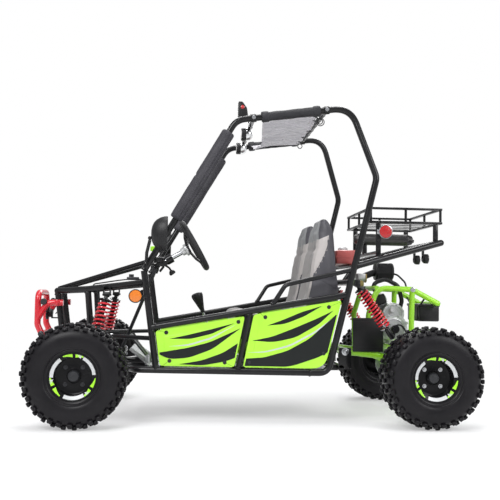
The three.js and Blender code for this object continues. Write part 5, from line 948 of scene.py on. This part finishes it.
# Chain: a closed loop of stamped steel plates riveted round turned rollers, lightly oiled,
# laid from the engine sprocket to the axle sprocket
LINK_PITCH, BIG_RADIUS, SMALL_RADIUS = 12.7, 89.5, 26
LINK = ((-4, -2), (0, -4.5), (6.3, -3.2), (12.7, -4.5), (16.7, -2), (16.7, 2), (12.7, 4.5), (6.3, 3.2), (0, 4.5),
        (-4, 2))
line = CRANK.xz - AXLE.xz
swing = acos((BIG_RADIUS - SMALL_RADIUS) / line.length)
rise = atan2(line.y, line.x)
route = [around(AXLE.xz, BIG_RADIUS, rise + swing + (tau - 2 * swing) * k / 39, -CHAIN_Y) for k in range(40)]
route += [around(CRANK.xz, SMALL_RADIUS, rise - swing + 2 * swing * k / 15, -CHAIN_Y) for k in range(16)]
route.append(route[0])
lengths = [0.0]
for a, b in zip(route, route[1:]):
    lengths.append(lengths[-1] + (b - a).length)


def along_route(distance):
    i = next(i for i in range(1, len(route)) if lengths[i] >= distance)
    return route[i - 1].lerp(route[i], (distance - lengths[i - 1]) / max(lengths[i] - lengths[i - 1], 1e-6))


links = int(lengths[-1] / LINK_PITCH)
stops = [along_route(lengths[-1] * k / links) for k in range(links)]
for k, stop in enumerate(stops):
    way = (stops[(k + 1) % links] - stop).normalized()
    high = way.cross(OUT)
    for side in (-1, 1):
        plate = stop + Vector((0, side * (3.4 if k % 2 else 4.8), 0))
        raised([plate + way * x + high * z for x, z in LINK], (0, side * 0.9, 0))
    tube([stop - Vector((0, 5.8, 0)), stop + Vector((0, 5.8, 0))], 3.8, sides=8)
piece("drive_chain", steel_black, "swing_arm_body")

# Rear subframe: sloping 32 mm side tubes, cross tubes and flat drilled rack posts, with two round
# tail lamps behind and a bright ringed reflector on each front post
POST_Y = 262
tube([(491, 445.5, 768.2), (958, 328, 899)], TUBE)
tube([(469, 261, 690), (530, 261, 779)], SLIM)
tube([(652, 405.9, 813.2), (652, POST_Y, 813.2)], SLIM)
ears((470, 300, 674), (547, 300, 706), 15.9, 1, 2.5)
bolt((534, 318.9, 679), OUT, 8, 6)
for x, z in ((652, 802), (952, 899)):
    bar((x - 13, POST_Y - 4, z), (x + 13, POST_Y + 4, 998.5))
weld((500, 443, 771), (1, 0, 0.28), TUBE - 1)
bar((942, 63, 829), (950, 89, 899), 2)
doubled()
for x, z, half, radius in ((530, 779, 435, SLIM), (958, 899, 329, TUBE), (652, 847.2, POST_Y, SLIM),
                           (468.5, 690, 437, TUBE)):
    across(x, z, half, radius)
bar((641, 22, 847.2), (663, 58, 903.5), 2)
piece("rear_subframe_tubes", black_coat, "frame", "rear_subframe")
for x, levels in ((652, (865, 910, 955)), (952, (930, 965))):
    for z in levels:
        for face in (-1, 1):
            lathe([(0, 0.2), (5.2, 0.2), (5.6, 0.6), (6.4, 0.2), (6.4, -0.6)],
                  (x, POST_Y + face * 4, z), (0, face, 0), 16)
doubled()
piece("rack_post_holes", black_moulding)
red_lens = finish("red reflector lens", (0.5, 0.005, 0.008), (0.42, 0.004, 0.006), 0.08, 0.16, 0.4, 900, coat=0.8)
pale_lens = finish("frosted pale lens", (0.72, 0.7, 0.68), (0.62, 0.6, 0.58), 0.12, 0.24, 0.5, 700, coat=0.6)
lamp_seat, reflector_seat = ((942, 76, 829), BACK, 32), ((687, 270.5, 954), OUT, 44)


def pair_of(name, material, profile, *seat):
    lathe(profile, *seat)
    doubled()
    piece(name, material)


pair_of("tail_lamp_shells", black_moulding, [(0, 0), (16, 0), (24.5, 8), (26, 16), (26, 30), (23, 31)], *lamp_seat)
bar((643, 265.5, 942), (700, 271.2, 966), 1)
pair_of("rear_reflector_rims", bright, [(0, 0), (34.5, 0), (36.2, 3), (35.5, 6), (33, 7), (31.5, 5.5)],
        *reflector_seat)
pair_of("tail_lamp_lenses", pale_lens, [(23.5, 29), (22.5, 33), (12, 34), (0, 34.2)], *lamp_seat)
pair_of("rear_reflectors", red_lens, [(32.5, 5), (30.5, 7.8), (20, 9.5), (0, 10.2)], *reflector_seat)

# Silencer: a rolled sheet steel drum, dark and heat tinted, with pressed end caps, seam bands
# and a short welded tail pipe
dull_steel = finish("heat tinted silencer steel", (0.06, 0.06, 0.065), (0.1, 0.095, 0.09), 0.34, 0.5, 0.2, 350, 10,
                    metal=0.8, scuffs=(0.3, 0.14, 0.1, 0.07))
lathe([(0, 0), (18, 1), (23.5, 5), (30.5, 22), (32.5, 28), (33, 30), (33, 34), (32.2, 36), (32.2, 290), (33, 292),
       (33, 298), (30.5, 304), (23.5, 325), (18, 329), (0, 330)], (592, 40, 935), BACK)
tube([(905, 40, 935), (930, 40, 930)], 9, sides=16)
piece("silencer_drum", dull_steel, "frame", "silencer")

# Fuel tank: blow moulded red plastic with rounded edges and a moulding seam,
# closed by a cast alloy screw cap with grip ribs
tank_red = finish("red tank plastic", (0.52, 0.11, 0.1), (0.44, 0.085, 0.08), 0.3, 0.42, 0.3, 250, coat=0.2)
CAP_X, CAP_RIBS = 522, 30
bar((458, -138, 788.8), (586, 138, 864.8), 14)
bar((456.5, -139.5, 823), (587.5, 139.5, 828))
tube([(CAP_X, 0, 850), (CAP_X, 0, 866.8)], 20.5, sides=30)
piece("fuel_tank_shell", tank_red, "frame", "fuel_tank")
cap_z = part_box("fuel_cap")[0].z * 1000
lathe([(0, 0), (24.5, 0), (25.5, 2), (25.5, 14), (24, 16.5), (19, 18.5), (18, 21), (6, 22.5), (0, 22.5)],
      Matrix.Translation((CAP_X, 0, cap_z)), steps=40)
for k in range(CAP_RIBS):
    turn = tau * k / CAP_RIBS
    spot = Vector((CAP_X + 25.2 * cos(turn), 25.2 * sin(turn), cap_z + 2.5))
    tube([spot, spot + Vector((0, 0, 11.5))], 1.3, sides=6)
piece("fuel_cap_knurled", cast, "fuel_cap_body", "fuel_cap")

# Cargo rack: two rings of 17 mm square tube with short posts and five flat slats,
# all welded and coated black
RACK_MIDDLE, LOW_RING, TOP_RING = 795, 1005, 1075
for z in (LOW_RING, TOP_RING + 0.5):
    for side in (-1, 1):
        block((RACK_MIDDLE, side * POST_Y, z), (191.5, 8.5, 6), 2.2)
        block((RACK_MIDDLE + side * 183, 0, z), (8.5, 270, 6), 2.2)
for x, y in ((612, -262), (612, 262), (795, -262), (795, 262), (978, -262), (978, 262), (612, 0), (978, 0)):
    tube([(x, y, LOW_RING), (x, y, TOP_RING)], 6.8, sides=12)
for y in (-180, -90, 0, 90, 180):
    block((RACK_MIDDLE, y, LOW_RING), (181, 12, 2), 1.2)
piece("cargo_rack_welded", black_coat, "frame", "cargo_rack")

# Front bumper: one bowed hoop of 32 mm steel tube with a lower bar, bent, welded and coated red,
# bolted to the nose posts
BUMPER_X, LOW_BAR_X, LOW_BAR_Z, BUMPER_HALF = -1075, -1053, 405, 118
leg = [(LOW_BAR_X, BUMPER_HALF, LOW_BAR_Z), (BUMPER_X, BUMPER_HALF, 452), (BUMPER_X, BUMPER_HALF, 614)]
tube([(x, -y, z) for x, y, z in leg] + leg[::-1], TUBE, 46, sides=18, steps=9)
across(LOW_BAR_X, LOW_BAR_Z, BUMPER_HALF, TUBE, 18)
for side in (-1, 1):
    tube([(BUMPER_X, side * BUMPER_HALF, 482), (-1027, side * 123.5, 564), (-948, side * 123.5, 564)], TUBE, 48,
         sides=18, steps=9)
piece("front_bumper_hoop", red_coat, "frame", "front_bumper")
lathe([(0, 0), (15.5, 0), (16.5, 2), (16.5, 7), (14.5, 9), (0, 9.5)], (-1043, 136.5, 569), OUT, 32)
pair_of("front_bumper_caps", steel_black, [(0, 0), (14.5, 0), (15.5, 1.5), (12, 4), (0, 5)],
        (LOW_BAR_X, 133.5, LOW_BAR_Z), OUT, 28)
bolt((-975, 138.5, 564), OUT, 9, 7)
doubled()
piece("front_bumper_bolts", red_coat)

# Pedals: pressed steel plates with raised grip bars, welded to turned pivot sleeves
# and held by a pin with a head at each end
PEDAL_WAY = Vector((-0.092, 0, 0.112)).normalized()
PEDAL_LEAN = Matrix.Rotation(atan2(PEDAL_WAY.x, PEDAL_WAY.z), 4, "Y")
PEDAL_FACE = Vector((PEDAL_WAY.z, 0, -PEDAL_WAY.x))
SLEEVE_HALF = 31
for name, y in (("brake", -228), ("throttle", -136)):
    pivot = Vector((-508, y, 300))
    tube([pivot - OUT * SLEEVE_HALF, pivot + OUT * SLEEVE_HALF], 11.8, sides=20)
    block(pivot + PEDAL_WAY * 76.5, (3.8, 30.8, 68), 2.5, PEDAL_LEAN)
    for k in range(6):
        block(pivot + PEDAL_WAY * (50 + 16 * k) + PEDAL_FACE * 4.2, (1, 25, 2), 0.8, PEDAL_LEAN)
    for end in (-1, 1):
        bolt(pivot + OUT * end * SLEEVE_HALF, OUT * end, 5.5, 3)
    piece(f"{name}_pedal_plate", grey_steel, f"{name}_pedal_body", f"{name}_pedal")

# Gear lever: a plated steel rod under a moulded black knob that flares to its top,
# pinned in a sleeve between the seats
LEVER_FOOT, LEVER_TOP, KNOB_LENGTH = Vector((-150, 0, 312)), Vector((-271, 0, 625)), 112
lever_way = (LEVER_TOP - LEVER_FOOT).normalized()
tube([LEVER_FOOT, LEVER_TOP - lever_way * 100], 6.8, sides=16)
across(LEVER_FOOT.x, LEVER_FOOT.z, 13.9, 13.8, 20)
piece("shift_lever_rod", bright, "shift_lever_body", "shift_lever")
lathe([(7, 0), (9.8, 0.5), (10.5, 6), (11.8, 18), (13.6, 26), (17.5, 40), (22.5, 60), (27.5, 78), (30.5, 91),
       (30.8, 98), (28.5, 106), (21, 110.5), (10, 112), (0, 112.2)], LEVER_TOP - lever_way * KNOB_LENGTH, lever_way, 40)
for k in range(3):
    ring(LEVER_TOP - lever_way * (104 - 7 * k), lever_way, 10.8, 1.4, steps=30, sides=6)
piece("shift_lever_knob", black_moulding, "shift_lever_body")

# Roof bars: 24 mm cross tubes clamped to the roof rails, the front one carrying two chrome lamps
# and the warning light on its bracket
RAIL_WAY = Vector((0.567, 0, 0.079)).normalized()
ROOF_BARS = {"front": -11, "rear": 352}


def rail_at(x, side=1):
    share = (x + 95) / 567
    return Vector((x, side * (377 + 13 * share), 1481 + 79 * share))


for label, x in ROOF_BARS.items():
    spot = rail_at(x)
    lathe([(16.3, -13), (19.8, -13), (20.5, -12), (20.5, 12), (19.8, 13), (16.3, 13), (16.3, -13)],
          spot, RAIL_WAY, 30)
    block(spot + Vector((0, 18, 0)), (9, 3, 6))
    if label == "front":
        bar((x - 12, 181, 1483.5), (x + 12, 199, 1487.5), 1)
        tube([(x - 4, 190, 1487), (x - 4, 190, 1476)], 5.5, sides=12)
    doubled()
    across(x, spot.z, spot.y, 12)
    if label == "front":
        bar((-23, -206, 1492.7), (1, -194, 1531), 1)
        bar((-76, -231, 1526), (1, -169, 1532.5))
    piece(f"roof_bar_{label}_tube", black_coat, "frame", f"roof_bar_{label}")
for x in ROOF_BARS.values():
    bolt(rail_at(x) + Vector((0, 20.5, 0)), OUT, 5.5, 6)
doubled()
piece("roof_bar_bolts", bright)
chrome = finish("chrome plate", (0.82, 0.83, 0.84), (0.72, 0.73, 0.74), 0.06, 0.14, 0.02, metal=1)
lamp_seat = (1, 190, 1448.7), (-1, 0, 0), 40
for name, paint, profile in (
        ("bowls", chrome, [(0, 0), (11, 0.5), (20.5, 3.5), (27.2, 10), (31, 19), (32.2, 28), (32.4, 34), (0, 34)]),
        ("rings", black_moulding, [(28, 33), (32.8, 33.5), (33.2, 52), (31.8, 57.5), (29, 57.5), (28, 52), (28, 33)]),
        ("glasses", pale_lens, [(0, 50), (28.5, 50), (27.5, 54), (18, 58.2), (0, 59.5)])):
    pair_of(f"roof_lamp_{name}", paint, profile, *lamp_seat)
wedge = ((-76, 1532.5), (-24, 1532.5), (-31.8, 1581), (-55.2, 1613.5), (-76, 1613.5))
raised([(x, -231, z) for x, z in wedge], (0, 62, 0))
softened(bench.edges[:], 5, 3)
piece("warning_light_body", black_moulding)
for face, y in ((-1, -231.2), (1, -168.8)):
    lathe([(0, 2.2), (6, 1.8), (9.5, 0.2), (9.5, -2)], (-55, y, 1584), (0, face, 0), 28)
piece("warning_light_lens", red_lens)

# Roof cloth: one pale woven sheet hung between the roof rails, with a sewn sleeve round each rail,
# shallow folds along it with painted shade following them, and black elastic laces at its rear edge
pale_cloth, tree = new_paint("pale woven canvas")
spot = put(tree, "TexCoord").outputs["Object"]
threads = [put(tree, "TexWave", {"Vector": spot, "Scale": 260.0, "Distortion": 0.6, "Detail": 1.0},
               wave_type="BANDS", bands_direction=axis).outputs["Fac"] for axis in "XY"]
weave = maths(tree, "ADD", *threads)
long_spot = put(tree, "Mapping", {"Vector": spot, "Scale": (2.5, 9.0, 9.0)})
creases = put(tree, "TexNoise", {"Vector": long_spot, "Scale": 3.0, "Detail": 5.0})
# The cloth's grey deepens with the same crease noise that raises the fold bump: painted shade along the folds
cloth_tint_with_fold_shade = blend(tree, creases, (0.60, 0.585, 0.62, 1), (0.44, 0.43, 0.46, 1))
thread_tint = put(tree, "MapRange", {0: weave, 1: 0.0, 2: 2.0, 3: 0.86, 4: 1.0})
soft_folds = put(tree, "Bump", {"Height": creases, "Distance": 0.006, "Strength": 0.6})
put(tree, "OutputMaterial", {"Surface": put(tree, "BsdfPrincipled", {
    "Base Color": blend(tree, 1.0, cloth_tint_with_fold_shade, thread_tint.outputs[0], blend_type="MULTIPLY"),
    "Roughness": put(tree, "MapRange", {0: creases, 3: 0.62, 4: 0.8}),
    "Normal": put(tree, "Bump", {"Height": weave, "Distance": 0.0003, "Strength": 0.5, "Normal": soft_folds}),
    "Sheen Weight": 0.25, "Sheen Roughness": 0.5})})
foam_skin = finish("charcoal foam sleeve", (0.05, 0.048, 0.056), (0.033, 0.032, 0.038), 0.5, 0.68, 0.6, 500, 12,
                   specular=0.3, scuffs=(0.25, 0.09, 0.09, 0.1))
sleeve_skin = finish("dark roof sleeve cloth", (0.028, 0.028, 0.032), (0.018, 0.018, 0.021), 0.5, 0.68, 0.6, 500, 12,
                     specular=0.3)
lace_cord = finish("black elastic cord", (0.02, 0.02, 0.022), (0.035, 0.035, 0.037), 0.6, 0.75, 0.6, 1500)
CLOTH_START, CLOTH_END = 40, 316


def cloth_point(x, share):
    rail = rail_at(x)
    along = (x - CLOTH_START) / (CLOTH_END - CLOTH_START)
    edge = 23.5 * sin(pi * share) ** 2 * (abs(along - 0.5) * 2) ** 4
    hang = 4 * share * (1 - share)
    fold = 7 * sin(7 * pi * share) + 3.5 * noise.noise(Vector((along * 2.2, share * 26, 4.0)))
    fold += 2.8 * sin(23 * pi * share + 1.6 * sin(5 * along + share * 9))
    drop = (fold * hang ** 0.5 - 64 * hang) * (1 - 0.2 * sin(pi * along))
    return Vector((x + (edge if along < 0.5 else -edge), (2 * share - 1) * (rail.y - 17.8), rail.z + drop))


rows = []
for x in (CLOTH_START + (CLOTH_END - CLOTH_START) * i / 48 for i in range(49)):
    wraps = []
    for side in (-1, 1):
        rail = rail_at(x, side)
        turns = [radians(270 - side * (20 + 70 * k / 12)) for k in range(13)]
        wraps.append([rail + Vector((0, 18 * cos(turn), 18 * sin(turn))) for turn in turns])
    inner = [cloth_point(x, 0.004 + 0.992 * k / 120) for k in range(121)]
    rows.append([bench.verts.new(point) for point in wraps[0] + inner + wraps[1][::-1]])
for a, b in zip(rows, rows[1:]):
    for k in range(len(a) - 1):
        bench.faces.new((a[k], b[k], b[k + 1], a[k + 1]))
bmesh.ops.recalc_face_normals(bench, faces=bench.faces)
bmesh.ops.solidify(bench, geom=bench.faces[:], thickness=1.6)
cloth = piece("roof_cloth_sheet", pale_cloth, "frame", "roof_cloth", 60)


def lumpy(least, lift):
    for vert in bench.verts:
        radius = vert.co.xy.length
        if radius > least:
            vert.co.xy *= (radius + lift(vert.co)) / radius


for name, side in SIDES:
    start, end = rail_at(CLOTH_START - 12, side), rail_at(CLOTH_END + 6, side)
    span = (end - start).length
    cuff = [(16.5, 3), (22, 0.4), (26, 3), (27.5, 10), (27.5, 30), (25.5, 36), (22.6, 38)]
    profile = cuff + [(22.6, 42 + (span - 84) * k / 16) for k in range(17)]
    lathe(profile + [(radius, span - height) for radius, height in reversed(cuff)] + [cuff[0]], Matrix(), steps=44)
    lumpy(20, lambda co: 1.6 * noise.noise(Vector((co.x * 0.06, co.y * 0.06, co.z * 0.03 + side * 5))))
    bmesh.ops.transform(bench, matrix=facing(start, end - start), verts=bench.verts)
    sleeve = piece(f"roof_sleeve_{name}", sleeve_skin, sharp=60)
BAR = rail_at(ROOF_BARS["rear"])
for k in range(6):
    here = cloth_point(CLOTH_END - 4, 0.1 + 0.16 * k)
    hook = [here + Vector(step) for step in ((-12, -12, 4), (8, -12, 8), (6, 12, -6), (-12, 12, -3))]
    loop = [Vector((BAR.x + x, here.y + y, BAR.z + z)) for x, y, z in ((-7, -9, 12.5), (10, 0, 6), (10, 0, -8),
                                                                       (-9, 6, -13.5))]
    tube(hook[:2] + loop + hook[2:], 2.8, 10, sides=8, steps=4)
for share, reach, drop, size in ((0.03, 20, 40, 18.5), (0.07, 24, 22, 12.5), (0.95, 20, 28, 12.5)):
    here = cloth_point(CLOTH_END - 6, share)
    hub = here + Vector((reach, 0, -drop))
    ring(hub, (0.25, 1, 0.1), size, 2.4, steps=26, sides=8)
    tube([here, hub + Vector((0, 0, size))], 2.4, sides=8)
laces_piece = piece("roof_cloth_laces", lace_cord)

# Pillar pads: split foam tubes in a dark grey knit skin, pushed over the front pillars and tied
# at the groove, with the sewn seam on the outer side
NOTCH = 237.2
for name, side in SIDES:
    low, high = Vector((-383, side * 355.9, 985)), Vector((-130.4, side * 374.4, 1420))
    span = (high - low).length
    end = [(16.5, 4), (21.5, 0.6), (28, 1.2), (31.8, 6), (33, 15)]
    heights = [30 + (NOTCH - 52) * k / 10 for k in range(11)] + [NOTCH + step for step in (-16, -10, -5, 0, 5, 10, 16)]
    heights += [NOTCH + 22 + (span - NOTCH - 52) * k / 12 for k in range(13)]
    lathe(end + [(33, height) for height in heights] + [(radius, span - height) for radius, height in reversed(end)]
          + [end[0]], Matrix(), steps=72)
    place = facing(low, high - low)
    outer_way = place.to_3x3().inverted() @ Vector((0.25, side, 0))
    front_way = place.to_3x3().inverted() @ Vector((-0.85, 0, 0.5))

    def foam(co):
        turn = atan2(co.y, co.x)
        off, from_front = ((turn - atan2(way.y, way.x) + pi) % tau - pi
                           for way in (outer_way, front_way))
        lump = 1.4 * noise.noise(Vector((co.x * 0.034, co.y * 0.034, co.z * 0.012 + side)))
        groove = 4.2 * bump(co.z, NOTCH, 6) * (1 - ramp(abs(from_front), 0.5, 1.1))
        return lump + 2.2 * bump(off, 0, 0.09) - 2.2 * bump(off, 0.28, 0.12) - groove

    lumpy(27.999, foam)
    bmesh.ops.transform(bench, matrix=place, verts=bench.verts)
    pad = piece(f"pillar_pad_{name}_foam", foam_skin, "frame", f"pillar_pad_{name}", 60)

# Mirrors: deep moulded black plastic shells with oval glass pressed in, each on a ball
# and a bent stalk from the dash corner
glass = finish("mirror glass", (0.72, 0.75, 0.78), (0.68, 0.71, 0.74), 0.02, 0.05, 0.01, metal=1)
for name, side in SIDES:
    place = facing((-419, 432, 905), (-1, 0, 0)) @ Matrix.Diagonal((56, 87, 78, 1))
    lathe([(0, 1), (0.2, 0.99), (0.42, 0.94), (0.62, 0.84), (0.78, 0.68), (0.9, 0.46), (0.965, 0.24), (0.99, 0.08),
           (0.99, 0.01), (0.965, 0), (0.93, 0), (0.915, 0.03), (0, 0.04)], place, steps=56)
    ball((-502, 432, 884), 9.8)
    tube([(-502, 432, 884), (-462, 432, 888)], 5.5, sides=16)
    piece(f"mirror_{name}_shell", black_moulding, f"mirror_{name}_body", f"mirror_{name}", side=side)
    lathe([(0.92, 0.028), (0.9, 0.02), (0.5, 0.012), (0, 0.01)], place, steps=56)
    piece(f"mirror_{name}_glass", glass, f"mirror_{name}_body", side=side)
    tube([(-521.7, 345.7, 746), (-517.9, 388.8, 815), (-502.5, 423.5, 873.5)], 8, 30, sides=16)
    lathe([(8, 0), (12, 0.5), (12.5, 10), (8, 14)], (-520.8, 355.7, 762), (0.06, 0.53, 0.85), 20)
    piece(f"mirror_{name}_stalk", black_coat, side=side)

# Small fittings on the nose and dash: a lime clip, amber reflectors, horn, switch box, choke knob,
# and the brake cylinder with its line and the wires, clipped along the tubes
bar((-503, -353, 826), (-481, -333, 850), 4)
piece("hood_tube_clip", lime_vinyl)
orange_lens = finish("amber reflector lens", (0.75, 0.2, 0.01), (0.66, 0.16, 0.008), 0.08, 0.16, 0.4, 900, coat=0.8)
reflector_seat = (-568, 363, 606), OUT, 40
bar((-580, 352, 598), (-510, 364, 612))
pair_of("front_reflector_rims", black_moulding, [(0, 0), (32, 0), (33.5, 3), (32.5, 6.5), (29.5, 6.5), (28.5, 4)],
        *reflector_seat)
pair_of("front_reflector_lenses", orange_lens, [(29.3, 4.5), (28, 7.5), (18, 9.2), (0, 9.8)], *reflector_seat)
lathe([(0, 0), (18, 0), (22, 4), (22.5, 18), (33, 20), (36, 24), (36, 29), (32, 31), (12, 31), (10, 35), (0, 35.5)],
      (-1020, 0, 507), (-1, 0, 0.1), 40)
for low, high, soft in (((-1024, -12, 480), (-972, 12, 486), 1), ((-1026, -12, 480), (-1020, 12, 520), 1),
                        ((-476, -232, 757), (-422, -168, 786.5), 4), ((-500, -240, 775), (-446, -160, 803), 5)):
    bar(low, high, soft)
tube([(-460, -200, 730), (-440, -200, 757)], 6, sides=12)
tube([(-422.5, -185, 772), (-410, -185, 776)], 7, sides=16)
tube([(-432, -215, 762), (-412, -215, 750), (-403, -215, 736)], 5, 10, sides=10)
lathe([(0, -12), (7, -12), (12.5, -7), (16.5, 0), (16.8, 6), (13.5, 11.5), (0, 12.5)],
      (-398, -215, 727), (0.6, 0, -0.8), 28)
piece("dash_switches", black_moulding)
bar((-620, -262, 684), (-560, -238, 700), 3)
tube([(-565, -250, 692), (-545, -250, 684)], 3.5, sides=10)
lathe([(0, 0), (12, 0), (12.5, 14), (0, 14.5)], (-598, -250, 699), UP, 24)
piece("brake_cylinder", steel_black)
for route, radius, bend in (
        ([(-600, -250, 690), (-660, -245, 682), (-790, -185, 662), (-812, -166, 600), (-789, -132, 300),
          (-765, -131, 270.5), (285, -131, 270.5), (300, -131, 260)], 3.2, 20),
        ([(-1005, 0, 505), (-985, 30, 530), (-975, 60, 600), (-950, 85, 645), (-800, 115, 695), (-500, 190, 782)],
         2.8, 30),
        ([(-468, -222, 765), (-472, -225, 745), (-497, -200, 770.5), (-497, 300, 770.5)], 3.5, 12)):
    tube(route, radius, bend, sides=8)
piece("brake_lines_and_wires", black_moulding)
